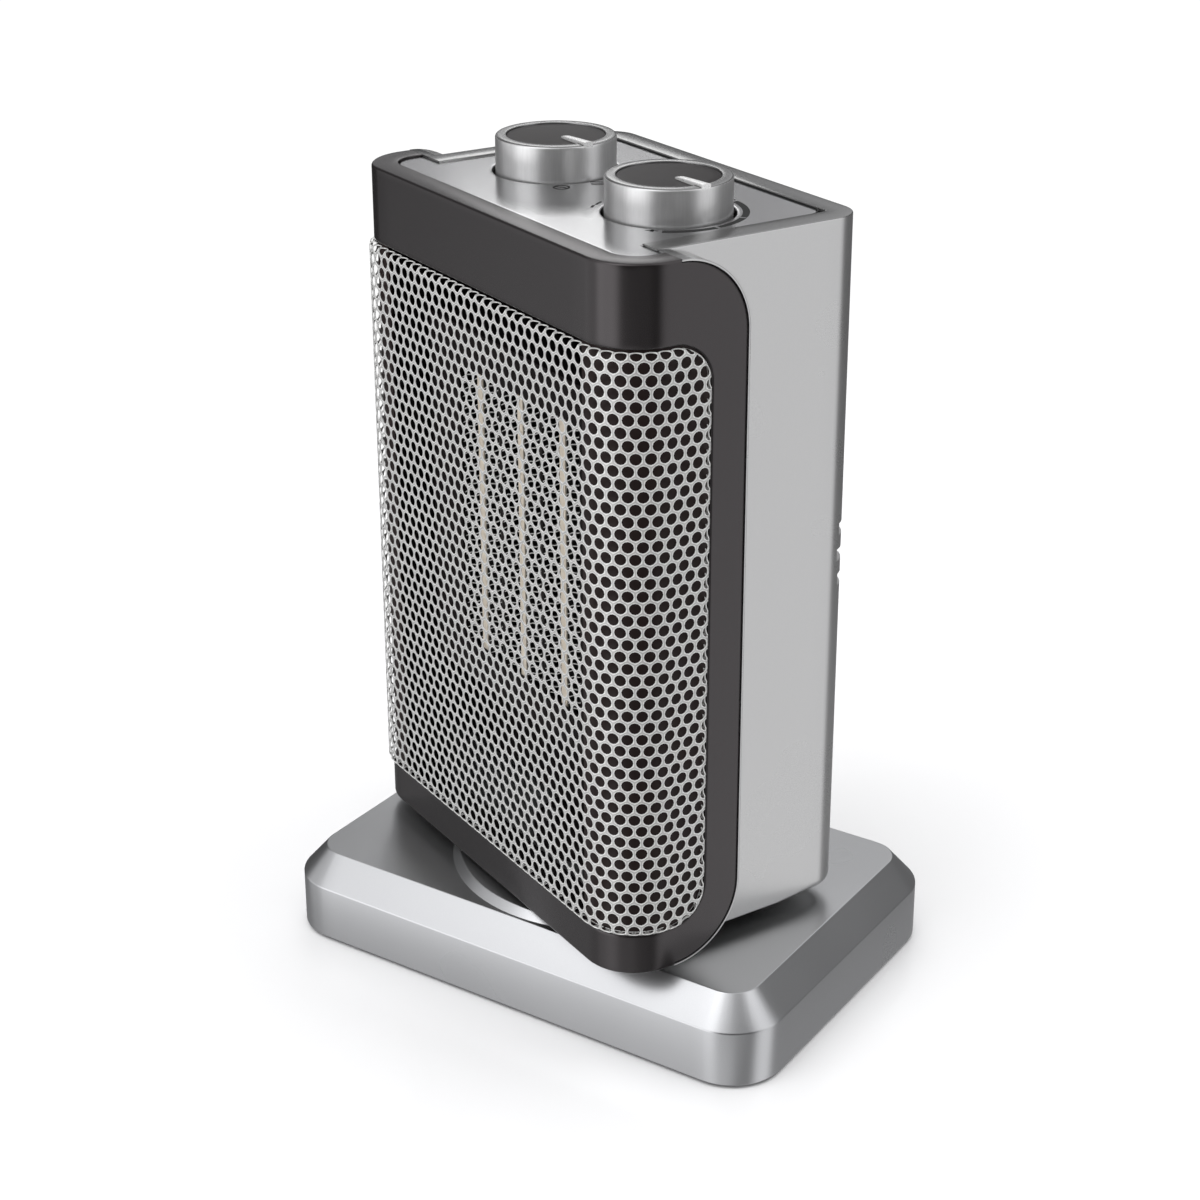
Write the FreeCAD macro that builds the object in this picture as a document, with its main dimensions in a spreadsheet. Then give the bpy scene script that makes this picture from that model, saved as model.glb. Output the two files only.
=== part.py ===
import FreeCAD, Part
import math
import os
from types import SimpleNamespace

import Sketcher
from FreeCAD import Placement, Rotation, Vector

# Ceramic space heater: an upright heater tower that swings on a low rectangular base.
#
# Row frame, millimetres: the origin is the middle of the base on the floor, +X runs along the
# base's long side, +Y to its back and +Z up. Tower pieces are drawn square to the axes, front
# towards -Y, and their Placement turns them about Z by tower_swing, clockwise seen from above.

doc = FreeCAD.newDocument("CeramicHeater")

# ---------------------------------------------------------------------------------------------
# Driving dimensions
# ---------------------------------------------------------------------------------------------

DIMENSIONS = [
    # fits shared by all pieces
    ("fit_gap", 0.3, "clearance between neighbouring pieces"),
    ("running_gap", 0.08, "radial clearance of a turning or sliding shaft"),
    ("press_gap", 0.02, "radial clearance of a pin or shaft pressed into its bore"),
    ("screw_gap", 0.05, "radial clearance round a screw"),
    ("screw_radius", 1.5, "shank radius of the housing screws"),
    ("screw_head_radius", 3.0, "head radius of the housing screws"),
    ("screw_head_height", 1.6, "head height of the housing screws"),
    # base
    ("base_length", 177, "base along X"),
    ("base_depth", 118, "base along Y"),
    ("base_corner", 17, "plan radius of the base corners"),
    ("base_lift", 1.0, "gap under the rim that the rubber feet leave"),
    ("rim_top", 19, "height where the upright rim ends"),
    ("base_top", 28, "height of the base's flat top"),
    ("base_chamfer", 7.8, "inward run of the slope between rim and top"),
    ("base_wall", 2.5, "wall of the base housing"),
    ("shoulder_drop", 1, "inner shoulder below the rim's top"),
    ("boss_foot_radius", 50.4, "turntable boss where it meets the top"),
    ("boss_radius", 48, "turntable boss at its upper edge"),
    ("boss_rise", 2.3, "height of the turntable boss"),
    ("boss_cavity_radius", 42, "hollow under the boss"),
    ("post_inset", 14, "screw posts in from the base's sides"),
    ("post_radius", 4, "outer radius of the screw posts"),
    ("post_root", 1.25, "screw posts sunk into the base's top wall"),
    ("post_roof", 1, "solid end of the screw posts' bores"),
    ("screw_tip_gap", 2, "screw tips short of their bores' ends"),
    ("floor_thickness", 2.2, "base plate thickness"),
    ("foot_inset_long", 29, "feet in from the short sides"),
    ("foot_inset_deep", 22, "feet in from the long sides"),
    ("foot_radius", 7, "rubber foot radius"),
    ("foot_recess", 0.8, "depth of the foot's seat in the base plate"),
    # turntable, collar and swing drive
    ("tower_swing", 23.6, "tower turned clockwise from straight ahead, degrees"),
    ("swing_half", 35, "swing each side of straight ahead, degrees"),
    ("collar_radius", 14, "pivot collar, outside"),
    ("collar_bore", 9, "wire way through the collar"),
    ("collar_flange_radius", 24, "collar flange inside the tower"),
    ("collar_flange_thickness", 2.5, "collar flange thickness"),
    ("collar_screw_circle", 19, "radius of the flange screw circle"),
    ("ring_radius", 32, "outer radius of the glide ring"),
    ("ring_bore", 16, "inner radius of the glide ring"),
    ("ring_thickness", 1.9, "glide ring thickness"),
    ("washer_radius", 20, "retaining washer radius"),
    ("washer_thickness", 1.4, "retaining washer thickness"),
    ("arm_thickness", 3, "swing arm thickness"),
    ("arm_hub_radius", 16, "swing arm hub"),
    ("arm_half_width", 6.8, "half width of the swing arm"),
    ("arm_screw_circle", 11.5, "radius of the arm screw circle"),
    ("crank_offset", 20, "crank axis behind the pivot axis"),
    ("crank_thickness", 2, "crank disc thickness"),
    ("crank_edge", 2.5, "crank disc beyond the pin's middle"),
    ("pin_radius", 2, "crank pin radius"),
    ("slot_play", 1.4, "play each side of the pin in the arm's slot"),
    ("slot_run", 2, "slot beyond the pin's furthest place"),
    ("arm_end", 3, "arm beyond its slot"),
    ("arm_sink", 1.2, "depth of the arm's screw sinks"),
    ("arm_head_radius", 2.5, "head radius of the arm's screws"),
    ("arm_screw_bite", 4, "arm screws' reach into the collar"),
    ("collar_bite", 5, "screw bores' depth in the collar"),
    ("pin_drop", 0.5, "crank pin short of the arm's top"),
    ("motor_radius", 24, "gear motor can radius"),
    ("motor_height", 13.6, "gear motor can height"),
    ("motor_shaft_radius", 3, "gear motor output shaft radius"),
    ("motor_ear_reach", 30, "gear motor screw from the motor axis"),
    ("ear_half", 4, "half width of the motor's ears"),
    ("ear_thickness", 1, "thickness of the motor's ears"),
    # tip-over switch
    ("switch_inset_long", 30.5, "tip-over switch in from the base's right side"),
    ("switch_inset_deep", 47, "tip-over switch in from the base's front"),
    ("switch_half_long", 7, "half length of the switch block"),
    ("switch_half_deep", 5, "half depth of the switch block"),
    ("switch_roof", 2, "switch block above its bore"),
    ("plunger_radius", 2.5, "tip-over plunger radius"),
    ("plunger_clear", 0.2, "pressed plunger above the floor"),
    ("plunger_travel", 2.5, "tip-over plunger travel"),
    ("plunger_length", 9, "tip-over plunger length"),
    # cord inlet
    ("gland_inset", 43.5, "cord inlet in from the base's left side"),
    ("gland_height", 10.5, "cord inlet above the floor"),
    ("gland_radius", 5.5, "cord inlet bush in the wall"),
    ("gland_collar", 7.2, "cord inlet bush outside the wall"),
    ("gland_bore", 3.6, "cord way through the bush"),
    ("gland_reach", 3.5, "bush standing out of the wall"),
    ("gland_flange", 1.6, "thickness of the bush's flange"),
    ("gland_inside", 2, "bush standing into the base"),
    # tower
    ("tower_foot", 32.4, "underside of the tower"),
    ("tower_top", 248, "top rim of the tower"),
    ("frame_half", 74.3, "half width of the front frame"),
    ("front_face", 45, "front face ahead of the pivot axis"),
    ("frame_corner", 16.5, "plan radius of the front corners"),
    ("frame_wall", 2.5, "front frame wall"),
    ("seam_line", 25, "top seam ahead of the pivot axis"),
    ("seam_arc", 22.9, "radius of the seam's upper and lower arcs"),
    ("seam_lip", 0.6, "edge of the rear housing showing behind the frame"),
    ("seam_gap", 0.1, "gap between frame and rear housing along the seam"),
    ("tongue_depth", 2.5, "thickness of the tongue that plugs into the frame"),
    ("housing_half", 63.5, "half width of the rear housing"),
    ("back_face", 45.5, "back face behind the pivot axis"),
    ("housing_corner", 9.5, "plan radius of the rear corners"),
    ("housing_wall", 2.5, "rear housing wall"),
    ("roof_thickness", 3.5, "top walls of frame and rear housing"),
    # control plate
    ("plate_recess", 0.6, "control plate below the rims"),
    ("plate_thickness", 1.8, "control plate thickness"),
    ("plate_ledge", 2, "width of the ledge under the plate's edge"),
    ("ledge_thickness", 1.0, "thickness of that ledge"),
    ("front_rim", 8.2, "rim width along the front"),
    ("side_rim", 8.2, "rim width of the frame's sides"),
    ("rear_rim", 7.9, "rim width of the rear housing's sides"),
    ("back_rim", 7.9, "rim width along the back"),
    ("plate_rear_corner", 6, "rear corners of the control plate"),
    # grille
    ("grille_low", 45.5, "lower edge of the grille opening"),
    ("grille_high", 224.4, "upper edge of the grille opening"),
    ("grille_back", 14.8, "grille opening's end on the sides, ahead of the axis"),
    ("grille_corner", 12, "corner radius of the opening on the sides"),
    ("grille_bulge", 1.6, "grille standing proud of the frame"),
    ("grille_gap", 0.6, "gap round the grille"),
    ("grille_sheet", 0.8, "grille sheet thickness"),
    ("grille_return", 5, "depth of the grille's turned-in edge"),
    # rear intake
    ("fan_height", 144.5, "fan axis above the floor"),
    ("intake_radius", 62.6, "radius of the field of intake slots"),
    ("slot_pitch", 8.1, "spacing of the intake slots"),
    ("slot_height", 3.8, "height of an intake slot"),
    ("slot_bar", 3, "upright bars between the slots"),
    ("slot_bar_spacing", 20, "spacing of the upright bars"),
    ("screen_thickness", 1, "dust screen thickness"),
    # housing screws
    ("well_inset", 9.5, "screw wells in from the rear housing's sides"),
    ("well_low", 39.5, "lower screw wells above the floor"),
    ("well_high", 232.5, "upper screw wells above the floor"),
    ("well_radius", 5, "outer radius of the screw wells"),
    ("well_bore", 3.6, "bore of the screw wells"),
    ("well_floor", 8, "well floor behind the pivot axis"),
    ("frame_post_radius", 3.6, "outer radius of the frame's screw posts"),
    ("frame_post_end", 4, "frame posts end ahead of the axis"),
    ("frame_screw_bite", 14, "long screws' reach into the frame posts"),
    ("frame_screw_head", 2.4, "head height of the long screws"),
    # heater core
    ("core_front", 31, "front of the core ahead of the pivot axis"),
    ("core_depth", 16, "depth of strips and fins"),
    ("core_height", 95, "height of strips and fins"),
    ("strip_pitch", 23.4, "spacing of the ceramic strips"),
    ("strip_width", 3, "width of a ceramic strip"),
    ("core_play", 0.1, "clearance between strips and fins"),
    ("core_frame_side", 17, "core frame beside the fins"),
    ("core_frame_end", 11, "core frame above and below the fins"),
    ("core_frame_lip", 1, "core frame ahead of the fins"),
    ("core_window_side", 0.8, "core frame's lip over the outer fins"),
    ("core_window_end", 1.5, "core frame's lip over the fins' ends"),
    # fan
    ("baffle_face", 10, "front of the baffle ahead of the pivot axis"),
    ("baffle_thickness", 2, "baffle thickness"),
    ("baffle_wall", 2, "baffle's side walls behind the grille"),
    ("baffle_wall_gap", 0.5, "those walls inside the grille's turned-in edge"),
    ("baffle_wall_end", 2.5, "those walls below and above the grille opening's edges"),
    ("baffle_wall_front", 37.2, "front of those walls ahead of the pivot axis"),
    ("ring_outer", 55, "outside radius of the fan duct"),
    ("ring_inner", 52.5, "inside radius of the fan duct"),
    ("duct_back", 14, "fan duct's end behind the axis"),
    ("spider_thickness", 3, "spider arm thickness"),
    ("spider_width", 8, "spider arm width"),
    ("spider_hub", 17, "spider hub radius"),
    ("spider_bore", 2.6, "clearance hole for the fan shaft in the spider"),
    ("throat_lip", 5, "inlet lip of the fan duct"),
    ("impeller_radius", 49.5, "blade tip radius"),
    ("impeller_hub", 14, "impeller hub radius"),
    ("impeller_front", 4, "impeller front ahead of the axis"),
    ("impeller_depth", 13, "impeller hub depth"),
    ("blade_chord", 15, "blade chord"),
    ("blade_thickness", 1.5, "blade thickness"),
    ("blade_pitch", 34, "blade pitch, degrees"),
    ("blade_root", 1, "blades sunk into the hub"),
    ("fan_shaft_radius", 1.6, "fan shaft radius"),
    ("fan_motor_radius", 21, "fan motor radius"),
    ("fan_motor_depth", 21, "fan motor depth"),
    ("fan_motor_end", 2, "fan motor behind its shaft bore"),
    ("shaft_nose", 0.6, "fan shaft ahead of its clip"),
    ("clip_radius", 3.5, "impeller clip radius"),
    ("clip_thickness", 2, "impeller clip thickness"),
    # controls
    ("knob_inset", 33.5, "knob axes in from the rear housing's sides"),
    ("knob_y", 1, "knob axes behind the pivot axis"),
    ("knob_radius", 18.3, "knob radius"),
    ("knob_top", 258.3, "top of the knobs"),
    ("knob_sink", 2.4, "knob below the control plate's face"),
    ("knob_hole_gap", 1.0, "gap round the knob in the plate"),
    ("knob_edge", 0.7, "bevel of the knob's top edge"),
    ("knob_wall", 2, "side and top wall of the knob"),
    ("knob_stem_wall", 2.5, "wall of the knob's stem"),
    ("pointer_sink", 0.6, "pointer sunk into the dark disc"),
    ("pointer_gap", 0.05, "gap round the pointer"),
    ("disc_radius", 14.8, "dark disc radius"),
    ("disc_thickness", 1.2, "dark disc thickness"),
    ("disc_sink", 0.4, "dark disc below the knob's top"),
    ("disc_gap", 0.1, "gap round the dark disc"),
    ("pointer_start", 2.2, "pointer's inner end from the knob axis"),
    ("pointer_width", 2.6, "pointer width"),
    ("pointer_rise", 0.9, "pointer above the knob's top"),
    ("shaft_radius", 3, "control shaft radius"),
    ("shaft_sink", 9, "control shaft down inside its switch"),
    ("bracket_height", 224.3, "control bracket above the floor"),
    ("bracket_thickness", 1.5, "control bracket thickness"),
    ("bracket_front", 7.4, "control bracket's front ahead of the axis"),
    ("bracket_back", 24, "control bracket's back behind the axis"),
    ("neck_radius", 4.5, "threaded neck of switch and thermostat"),
    ("neck_rise", 6, "threaded neck above the bracket"),
    ("control_half", 14, "half width of switch and thermostat"),
    ("control_depth", 8.4, "half depth of switch and thermostat"),
    ("control_height", 18, "height of switch and thermostat"),
    # loose electrical pieces
    ("cutout_radius", 7, "thermal cut-out radius"),
    ("cutout_depth", 5, "thermal cut-out depth"),
    ("cutout_height", 215, "thermal cut-out above the floor"),
    ("terminal_length", 30, "terminal block length"),
    ("terminal_depth", 14, "terminal block depth"),
    ("terminal_height", 11, "terminal block height"),
    ("terminal_side_gap", 2, "terminal block beside the screw well"),
    ("terminal_back_gap", 6, "terminal block ahead of the back wall"),
]
FOOT_SIGNS = [(-1, -1), (1, -1), (1, 1), (-1, 1)]
INTAKE_SLOTS = 15
INTAKE_BARS = 5
BLADES = 7
SPIDER_ARMS = 3
STRIPS = 3


class Size:
    """A size known both as a number and as the spreadsheet expression that gives it."""

    def __init__(self, text, number):
        self.text, self.number = text, number

    def __add__(self, other):
        return Size(f"({self.text} + {text_of(other)})", self.number + number_of(other))

    def __radd__(self, other):
        return Size(f"({text_of(other)} + {self.text})", number_of(other) + self.number)

    def __sub__(self, other):
        return Size(f"({self.text} - {text_of(other)})", self.number - number_of(other))

    def __rsub__(self, other):
        return Size(f"({text_of(other)} - {self.text})", number_of(other) - self.number)

    def __mul__(self, other):
        return Size(f"({self.text} * {text_of(other)})", self.number * number_of(other))

    def __rmul__(self, other):
        return Size(f"({text_of(other)} * {self.text})", number_of(other) * self.number)

    def __truediv__(self, other):
        return Size(f"({self.text} / {text_of(other)})", self.number / number_of(other))

    def __neg__(self):
        return Size(f"(0 - {self.text})", -self.number)


def text_of(value):
    return value.text if isinstance(value, Size) else repr(float(value))


def number_of(value):
    return value.number if isinstance(value, Size) else float(value)


def sine(angle):
    return Size(f"sin({text_of(angle)} * 1 deg)", math.sin(math.radians(number_of(angle))))


def cosine(angle):
    return Size(f"cos({text_of(angle)} * 1 deg)", math.cos(math.radians(number_of(angle))))


def arcsine(ratio):
    return Size(f"(asin({text_of(ratio)}) / 1 deg)", math.degrees(math.asin(number_of(ratio))))


def fill_spreadsheet():
    sheet = doc.addObject("Spreadsheet::Sheet", "Sizes")
    named = SimpleNamespace()
    for row, (alias, number, note) in enumerate(DIMENSIONS, start=1):
        sheet.set(f"A{row}", alias)
        sheet.set(f"B{row}", str(number))
        sheet.set(f"C{row}", note)
        sheet.setAlias(f"B{row}", alias)
        setattr(named, alias, Size(f"Sizes.{alias}", float(number)))
    doc.recompute()
    return named


dim = fill_spreadsheet()

# ---------------------------------------------------------------------------------------------
# Building blocks
# ---------------------------------------------------------------------------------------------


def bind(thing, prop, size):
    thing.setExpression(prop, text_of(size))


def box(name, x, y, z):
    """A block between (low, high) limits along each axis."""
    solid = doc.addObject("Part::Box", name)
    for prop, axis, (low, high) in zip(("Length", "Width", "Height"), "xyz", (x, y, z)):
        bind(solid, prop, high - low)
        bind(solid, f"Placement.Base.{axis}", low)
    return solid


def stand(solid, centre, low, along):
    """Stands a round primitive on the point where its axis starts."""
    x, y = centre
    spot = (x, y, low) if along == "Z" else (x, low, y)
    if along == "Y":
        solid.Placement = Placement(Vector(), Rotation(Vector(0, 0, 1), Vector(0, 1, 0)))
    for axis, size in zip("xyz", spot):
        bind(solid, f"Placement.Base.{axis}", size)
    return solid


def cylinder(name, radius, low, high, centre=(0, 0), along="Z"):
    solid = doc.addObject("Part::Cylinder", name)
    bind(solid, "Radius", radius)
    bind(solid, "Height", high - low)
    return stand(solid, centre, low, along)


def cone(name, low_radius, high_radius, low, high, centre=(0, 0), along="Z"):
    solid = doc.addObject("Part::Cone", name)
    bind(solid, "Radius1", low_radius)
    bind(solid, "Radius2", high_radius)
    bind(solid, "Height", high - low)
    return stand(solid, centre, low, along)


def fuse(name, *solids):
    joined = doc.addObject("Part::MultiFuse", name)
    joined.Shapes = list(solids)
    return joined


def common(name, *solids):
    shared = doc.addObject("Part::MultiCommon", name)
    shared.Shapes = list(solids)
    return shared


def cut(name, base, *tools):
    result = doc.addObject("Part::Cut", name)
    result.Base = base
    result.Tool = tools[0] if len(tools) == 1 else fuse(name + "_tools", *tools)
    return result


def ring(name, outer, bore, low, high, centre=(0, 0), along="Z"):
    return cut(
        name,
        cylinder(name + "_disc", outer, low, high, centre, along),
        cylinder(name + "_bore", bore, low - 1, high + 1, centre, along),
    )


def origin_plane(body, role):
    return next(part for part in body.Origin.OriginFeatures if part.Role == role)


def pin_point(sketch, line, point, x, y):
    """Holds one end of a line at (x, y), by a dimension or on an axis of the sketch."""
    for kind, axis, size in (("DistanceX", -2, x), ("DistanceY", -1, y)):
        number = number_of(size)
        if abs(number) < 1e-9:
            sketch.addConstraint(Sketcher.Constraint("PointOnObject", line, point, axis))
            continue
        index = sketch.addConstraint(Sketcher.Constraint(kind, -1, 1, line, point, number))
        bind(sketch, f"Constraints[{index}]", size)


def step_sign(a, b):
    """Direction of the side from a to b, which runs along one axis."""
    dx, dy = number_of(b[0]) - number_of(a[0]), number_of(b[1]) - number_of(a[1])
    return (math.copysign(1, dx), 0.0) if abs(dx) > abs(dy) else (0.0, math.copysign(1, dy))


def moved(point, direction, distance):
    return tuple(
        p if d == 0 else (p + distance if d > 0 else p - distance)
        for p, d in zip(point, direction)
    )


def draw(sketch, corners):
    """Closes an outline of sides along the axes. A corner is (x, y) or (x, y, arc radius)."""
    count = len(corners)
    starts, ends, radii = [], [], []
    for i, corner in enumerate(corners):
        before, after = corners[i - 1], corners[(i + 1) % count]
        radius = corner[2] if len(corner) > 2 else 0
        arrive, leave = step_sign(before, corner), step_sign(corner, after)
        starts.append(moved(corner[:2], (-arrive[0], -arrive[1]), radius) if radius else corner[:2])
        ends.append(moved(corner[:2], leave, radius) if radius else corner[:2])
        radii.append((radius, arrive, leave))
    at = lambda point: Vector(number_of(point[0]), number_of(point[1]), 0)
    lines = [
        sketch.addGeometry(Part.LineSegment(at(ends[i]), at(starts[(i + 1) % count])))
        for i in range(count)
    ]
    for i, line in enumerate(lines):
        pin_point(sketch, line, 1, *ends[i])
        after = (i + 1) % count
        radius, arrive, leave = radii[after]
        if not radius:
            sketch.addConstraint(Sketcher.Constraint("Coincident", line, 2, lines[after], 1))
            continue
        pin_point(sketch, line, 2, *starts[after])
        start, end = at(starts[after]), at(ends[after])
        centre = start + Vector(*leave, 0) * number_of(radius)
        left_turn = arrive[0] * leave[1] - arrive[1] * leave[0] > 0
        first, last = (start, end) if left_turn else (end, start)
        angles = [math.atan2(p.y - centre.y, p.x - centre.x) for p in (first, last)]
        circle = Part.Circle(centre, Vector(0, 0, 1), number_of(radius))
        arc = sketch.addGeometry(Part.ArcOfCircle(circle, *angles))
        near, far = (1, 2) if left_turn else (2, 1)
        sketch.addConstraint(Sketcher.Constraint("Coincident", arc, near, line, 2))
        sketch.addConstraint(Sketcher.Constraint("Coincident", arc, far, lines[after], 1))
        level = "Vertical" if leave[0] == 0 else "Horizontal"
        sketch.addConstraint(Sketcher.Constraint(level, arc, 3, line, 2))


def outline_sketch(body, name, role, corners, offset):
    """A sketch on one of the body's own origin planes, moved along the plane's normal."""
    sketch = body.newObject("Sketcher::SketchObject", name)
    sketch.AttachmentSupport = (origin_plane(body, role), [""])
    sketch.MapMode = "FlatFace"
    bind(sketch, "AttachmentOffset.Base.z", offset)
    draw(sketch, corners)
    return sketch


def prism(name, role, corners, low, high):
    """A padded outline: seen from above on XY_Plane, from the right side on YZ_Plane."""
    body = doc.addObject("PartDesign::Body", name)
    sketch = outline_sketch(body, name + "_outline", role, corners, low)
    pad = body.newObject("PartDesign::Pad", name + "_pad")
    pad.Profile = sketch
    bind(pad, "Length", high - low)
    sketch.Visibility = False
    return body


def rectangle(x, y, radius=0):
    """The four corners of a rectangle between (low, high) limits."""
    return [(x[0], y[0], radius), (x[1], y[0], radius), (x[1], y[1], radius), (x[0], y[1], radius)]


def both(half):
    return (-half, half)


PIECES = {}


def group(name, solids):
    """Separate solids under one name."""
    compound = doc.addObject("Part::Compound", name)
    compound.Links = solids
    return compound


def piece(name, solid, on_tower=False):
    """Registers a finished sub-part under its node name. Tower pieces turn with the tower."""
    if on_tower and solid.TypeId in ("Part::Box", "Part::Cylinder"):
        solid = group(name, [solid])
    solid.Label = name
    if on_tower:
        solid.Placement = Placement(Vector(), Rotation(Vector(0, 0, -1), 1))
        bind(solid, "Placement.Rotation.Angle", dim.tower_swing)
    PIECES[name] = solid
    return solid


# ---------------------------------------------------------------------------------------------
# Base
# ---------------------------------------------------------------------------------------------

boss_top = dim.base_top + dim.boss_rise
boss_ceiling = boss_top - dim.base_wall
cavity_ceiling = dim.base_top - dim.base_wall
floor_top = dim.base_lift + dim.floor_thickness
gland_spot = (dim.gland_inset - dim.base_length / 2, dim.gland_height)
switch_spot = (dim.base_length / 2 - dim.switch_inset_long, dim.switch_inset_deep - dim.base_depth / 2)
bore_radius = dim.collar_radius + dim.running_gap
post_spots = [
    (sx * (dim.base_length / 2 - dim.post_inset), sy * (dim.base_depth / 2 - dim.post_inset))
    for sx, sy in FOOT_SIGNS
]
foot_spots = [
    (sx * (dim.base_length / 2 - dim.foot_inset_long), sy * (dim.base_depth / 2 - dim.foot_inset_deep))
    for sx, sy in FOOT_SIGNS
]


def base_plan(inset, corner):
    return rectangle(
        both(dim.base_length / 2 - inset), both(dim.base_depth / 2 - inset), corner
    )


def make_base_shell():
    """Upright rim, sloped shoulder and flat top, as one body of a pad and a loft."""
    body = prism(
        "base_shell", "XY_Plane", base_plan(0, dim.base_corner), dim.base_lift, dim.rim_top
    )
    low = outline_sketch(
        body, "shoulder_low", "XY_Plane", base_plan(0, dim.base_corner), dim.rim_top
    )
    high = outline_sketch(
        body, "shoulder_high", "XY_Plane",
        base_plan(dim.base_chamfer, dim.base_corner - dim.base_chamfer), dim.base_top,
    )
    loft = body.newObject("PartDesign::AdditiveLoft", "shoulder")
    loft.Profile = low
    loft.Sections = [high]
    loft.Ruled = True
    return body


def make_base_housing():
    wall = dim.base_wall
    lower_top = dim.rim_top - dim.shoulder_drop
    lower = prism(
        "base_lower_cavity", "XY_Plane", base_plan(wall, dim.base_corner - wall),
        dim.base_lift - 1, lower_top,
    )
    inset = wall + dim.base_chamfer
    upper = prism(
        "base_upper_cavity", "XY_Plane", base_plan(inset, dim.base_corner - inset),
        lower_top - 1, cavity_ceiling,
    )
    boss_cavity = cylinder("boss_cavity", dim.boss_cavity_radius, cavity_ceiling - 1, boss_ceiling)
    boss = cone("boss", dim.boss_foot_radius, dim.boss_radius, dim.base_top, boss_top)
    shell = cut("base_open_shell", fuse("base_solid", make_base_shell(), boss), lower, upper, boss_cavity)
    posts = [
        cylinder(f"base_post_{i}", dim.post_radius, floor_top, cavity_ceiling + dim.post_root, spot)
        for i, spot in enumerate(post_spots)
    ]
    pilot = dim.screw_radius + dim.screw_gap
    holes = [
        cylinder(f"base_post_hole_{i}", pilot, floor_top - 1, cavity_ceiling - dim.post_roof, spot)
        for i, spot in enumerate(post_spots)
    ]
    bore = cylinder("pivot_bore", bore_radius, cavity_ceiling, boss_top + 1)
    inlet = cylinder(
        "cord_inlet", dim.gland_radius + dim.screw_gap, dim.base_depth / 2 - 2 * wall,
        dim.base_depth / 2 + 1, gland_spot, "Y",
    )
    joined = fuse("base_with_posts", shell, *posts)
    return piece("base_housing", cut("base_housing", joined, bore, inlet, *holes))


def make_base_plate():
    gap = dim.base_wall + dim.fit_gap
    plate = prism(
        "base_plate_blank", "XY_Plane", base_plan(gap, dim.base_corner - gap),
        dim.base_lift, floor_top,
    )
    seats = [
        cylinder(f"foot_seat_{i}", dim.foot_radius + dim.fit_gap, dim.base_lift - 1,
                 dim.base_lift + dim.foot_recess, spot)
        for i, spot in enumerate(foot_spots)
    ]
    head = dim.screw_head_radius + dim.screw_gap
    shank = dim.screw_radius + dim.screw_gap
    sinks = [
        cone(f"plate_sink_{i}", head, shank, dim.base_lift, dim.base_lift + dim.screw_head_height, spot)
        for i, spot in enumerate(post_spots)
    ]
    holes = [
        cylinder(f"plate_hole_{i}", shank, dim.base_lift - 1, floor_top + 1, spot)
        for i, spot in enumerate(post_spots)
    ]
    plunger_hole = cylinder(
        "plunger_hole", dim.plunger_radius + dim.running_gap, dim.base_lift - 1, floor_top + 1,
        switch_spot,
    )
    ears = [
        cylinder(f"ear_hole_{i}", shank, dim.base_lift - 1, floor_top + 1, spot)
        for i, spot in enumerate(motor_ear_spots)
    ]
    return piece(
        "base_plate", cut("base_plate", plate, plunger_hole, *seats, *sinks, *holes, *ears)
    )


def make_feet():
    for i, spot in enumerate(foot_spots, start=1):
        foot = cylinder(f"foot_{i}", dim.foot_radius, 0, dim.base_lift + dim.foot_recess, spot)
        piece(f"rubber_foot_{i}", foot)


def make_base_screws():
    """Countersunk screws, heads flush with the underside, up into the posts."""
    screws = []
    for i, spot in enumerate(post_spots):
        low = dim.base_lift
        head = cone(f"base_screw_head_{i}", dim.screw_head_radius, dim.screw_radius, low,
                    low + dim.screw_head_height, spot)
        tip = cavity_ceiling - dim.post_roof - dim.screw_tip_gap
        shank = cylinder(f"base_screw_shank_{i}", dim.screw_radius, low, tip, spot)
        screws.append(fuse(f"base_screw_{i}", head, shank))
    piece("base_screws", group("base_screws", screws))


def make_cord_gland():
    """Bush through the back wall, flanged inside and out, with the cord's way through it."""
    wall = dim.base_depth / 2
    inner_end = wall - dim.base_wall - dim.gland_inside
    body = cylinder("gland_body", dim.gland_radius, inner_end, wall + dim.gland_reach, gland_spot, "Y")
    collar = cylinder("gland_flange", dim.gland_collar, wall, wall + dim.gland_flange, gland_spot, "Y")
    way = cylinder("gland_way", dim.gland_bore, inner_end - 1, wall + dim.gland_reach + 1, gland_spot, "Y")
    piece("cord_gland", cut("cord_gland", fuse("gland_solid", body, collar), way))


# ---------------------------------------------------------------------------------------------
# Turntable and swing drive
# ---------------------------------------------------------------------------------------------

tower_floor_top = dim.tower_foot + dim.housing_wall
collar_end = boss_ceiling - dim.washer_thickness - 2 * dim.running_gap
arm_low = collar_end - dim.arm_thickness
crank_radius = dim.crank_offset * sine(dim.swing_half)
crank_turn = dim.tower_swing + arcsine(dim.crank_offset * sine(dim.tower_swing) / crank_radius)
pin_spot = (
    crank_radius * sine(crank_turn),
    dim.crank_offset + crank_radius * cosine(crank_turn),
)
crank_top = arm_low - dim.fit_gap
crank_low = crank_top - dim.crank_thickness
slot_half = dim.pin_radius + dim.slot_play
motor_axis = (0, dim.crank_offset)
motor_ear_spots = [(side * dim.motor_ear_reach, dim.crank_offset) for side in (-1, 1)]
motor_top = floor_top + dim.motor_height


def circle_spots(radius, count, first=45.0):
    """Evenly spaced points round the pivot axis."""
    angles = [first + 360.0 * i / count for i in range(count)]
    return [
        (radius * math.cos(math.radians(a)), radius * math.sin(math.radians(a))) for a in angles
    ]


collar_screw_spots = circle_spots(dim.collar_screw_circle, 4)
arm_screw_spots = circle_spots(dim.arm_screw_circle, 3, 30.0)


def make_glide_ring():
    top = boss_top + dim.ring_thickness
    piece("glide_ring", ring("glide_ring", dim.ring_radius, dim.ring_bore, boss_top, top))


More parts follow.
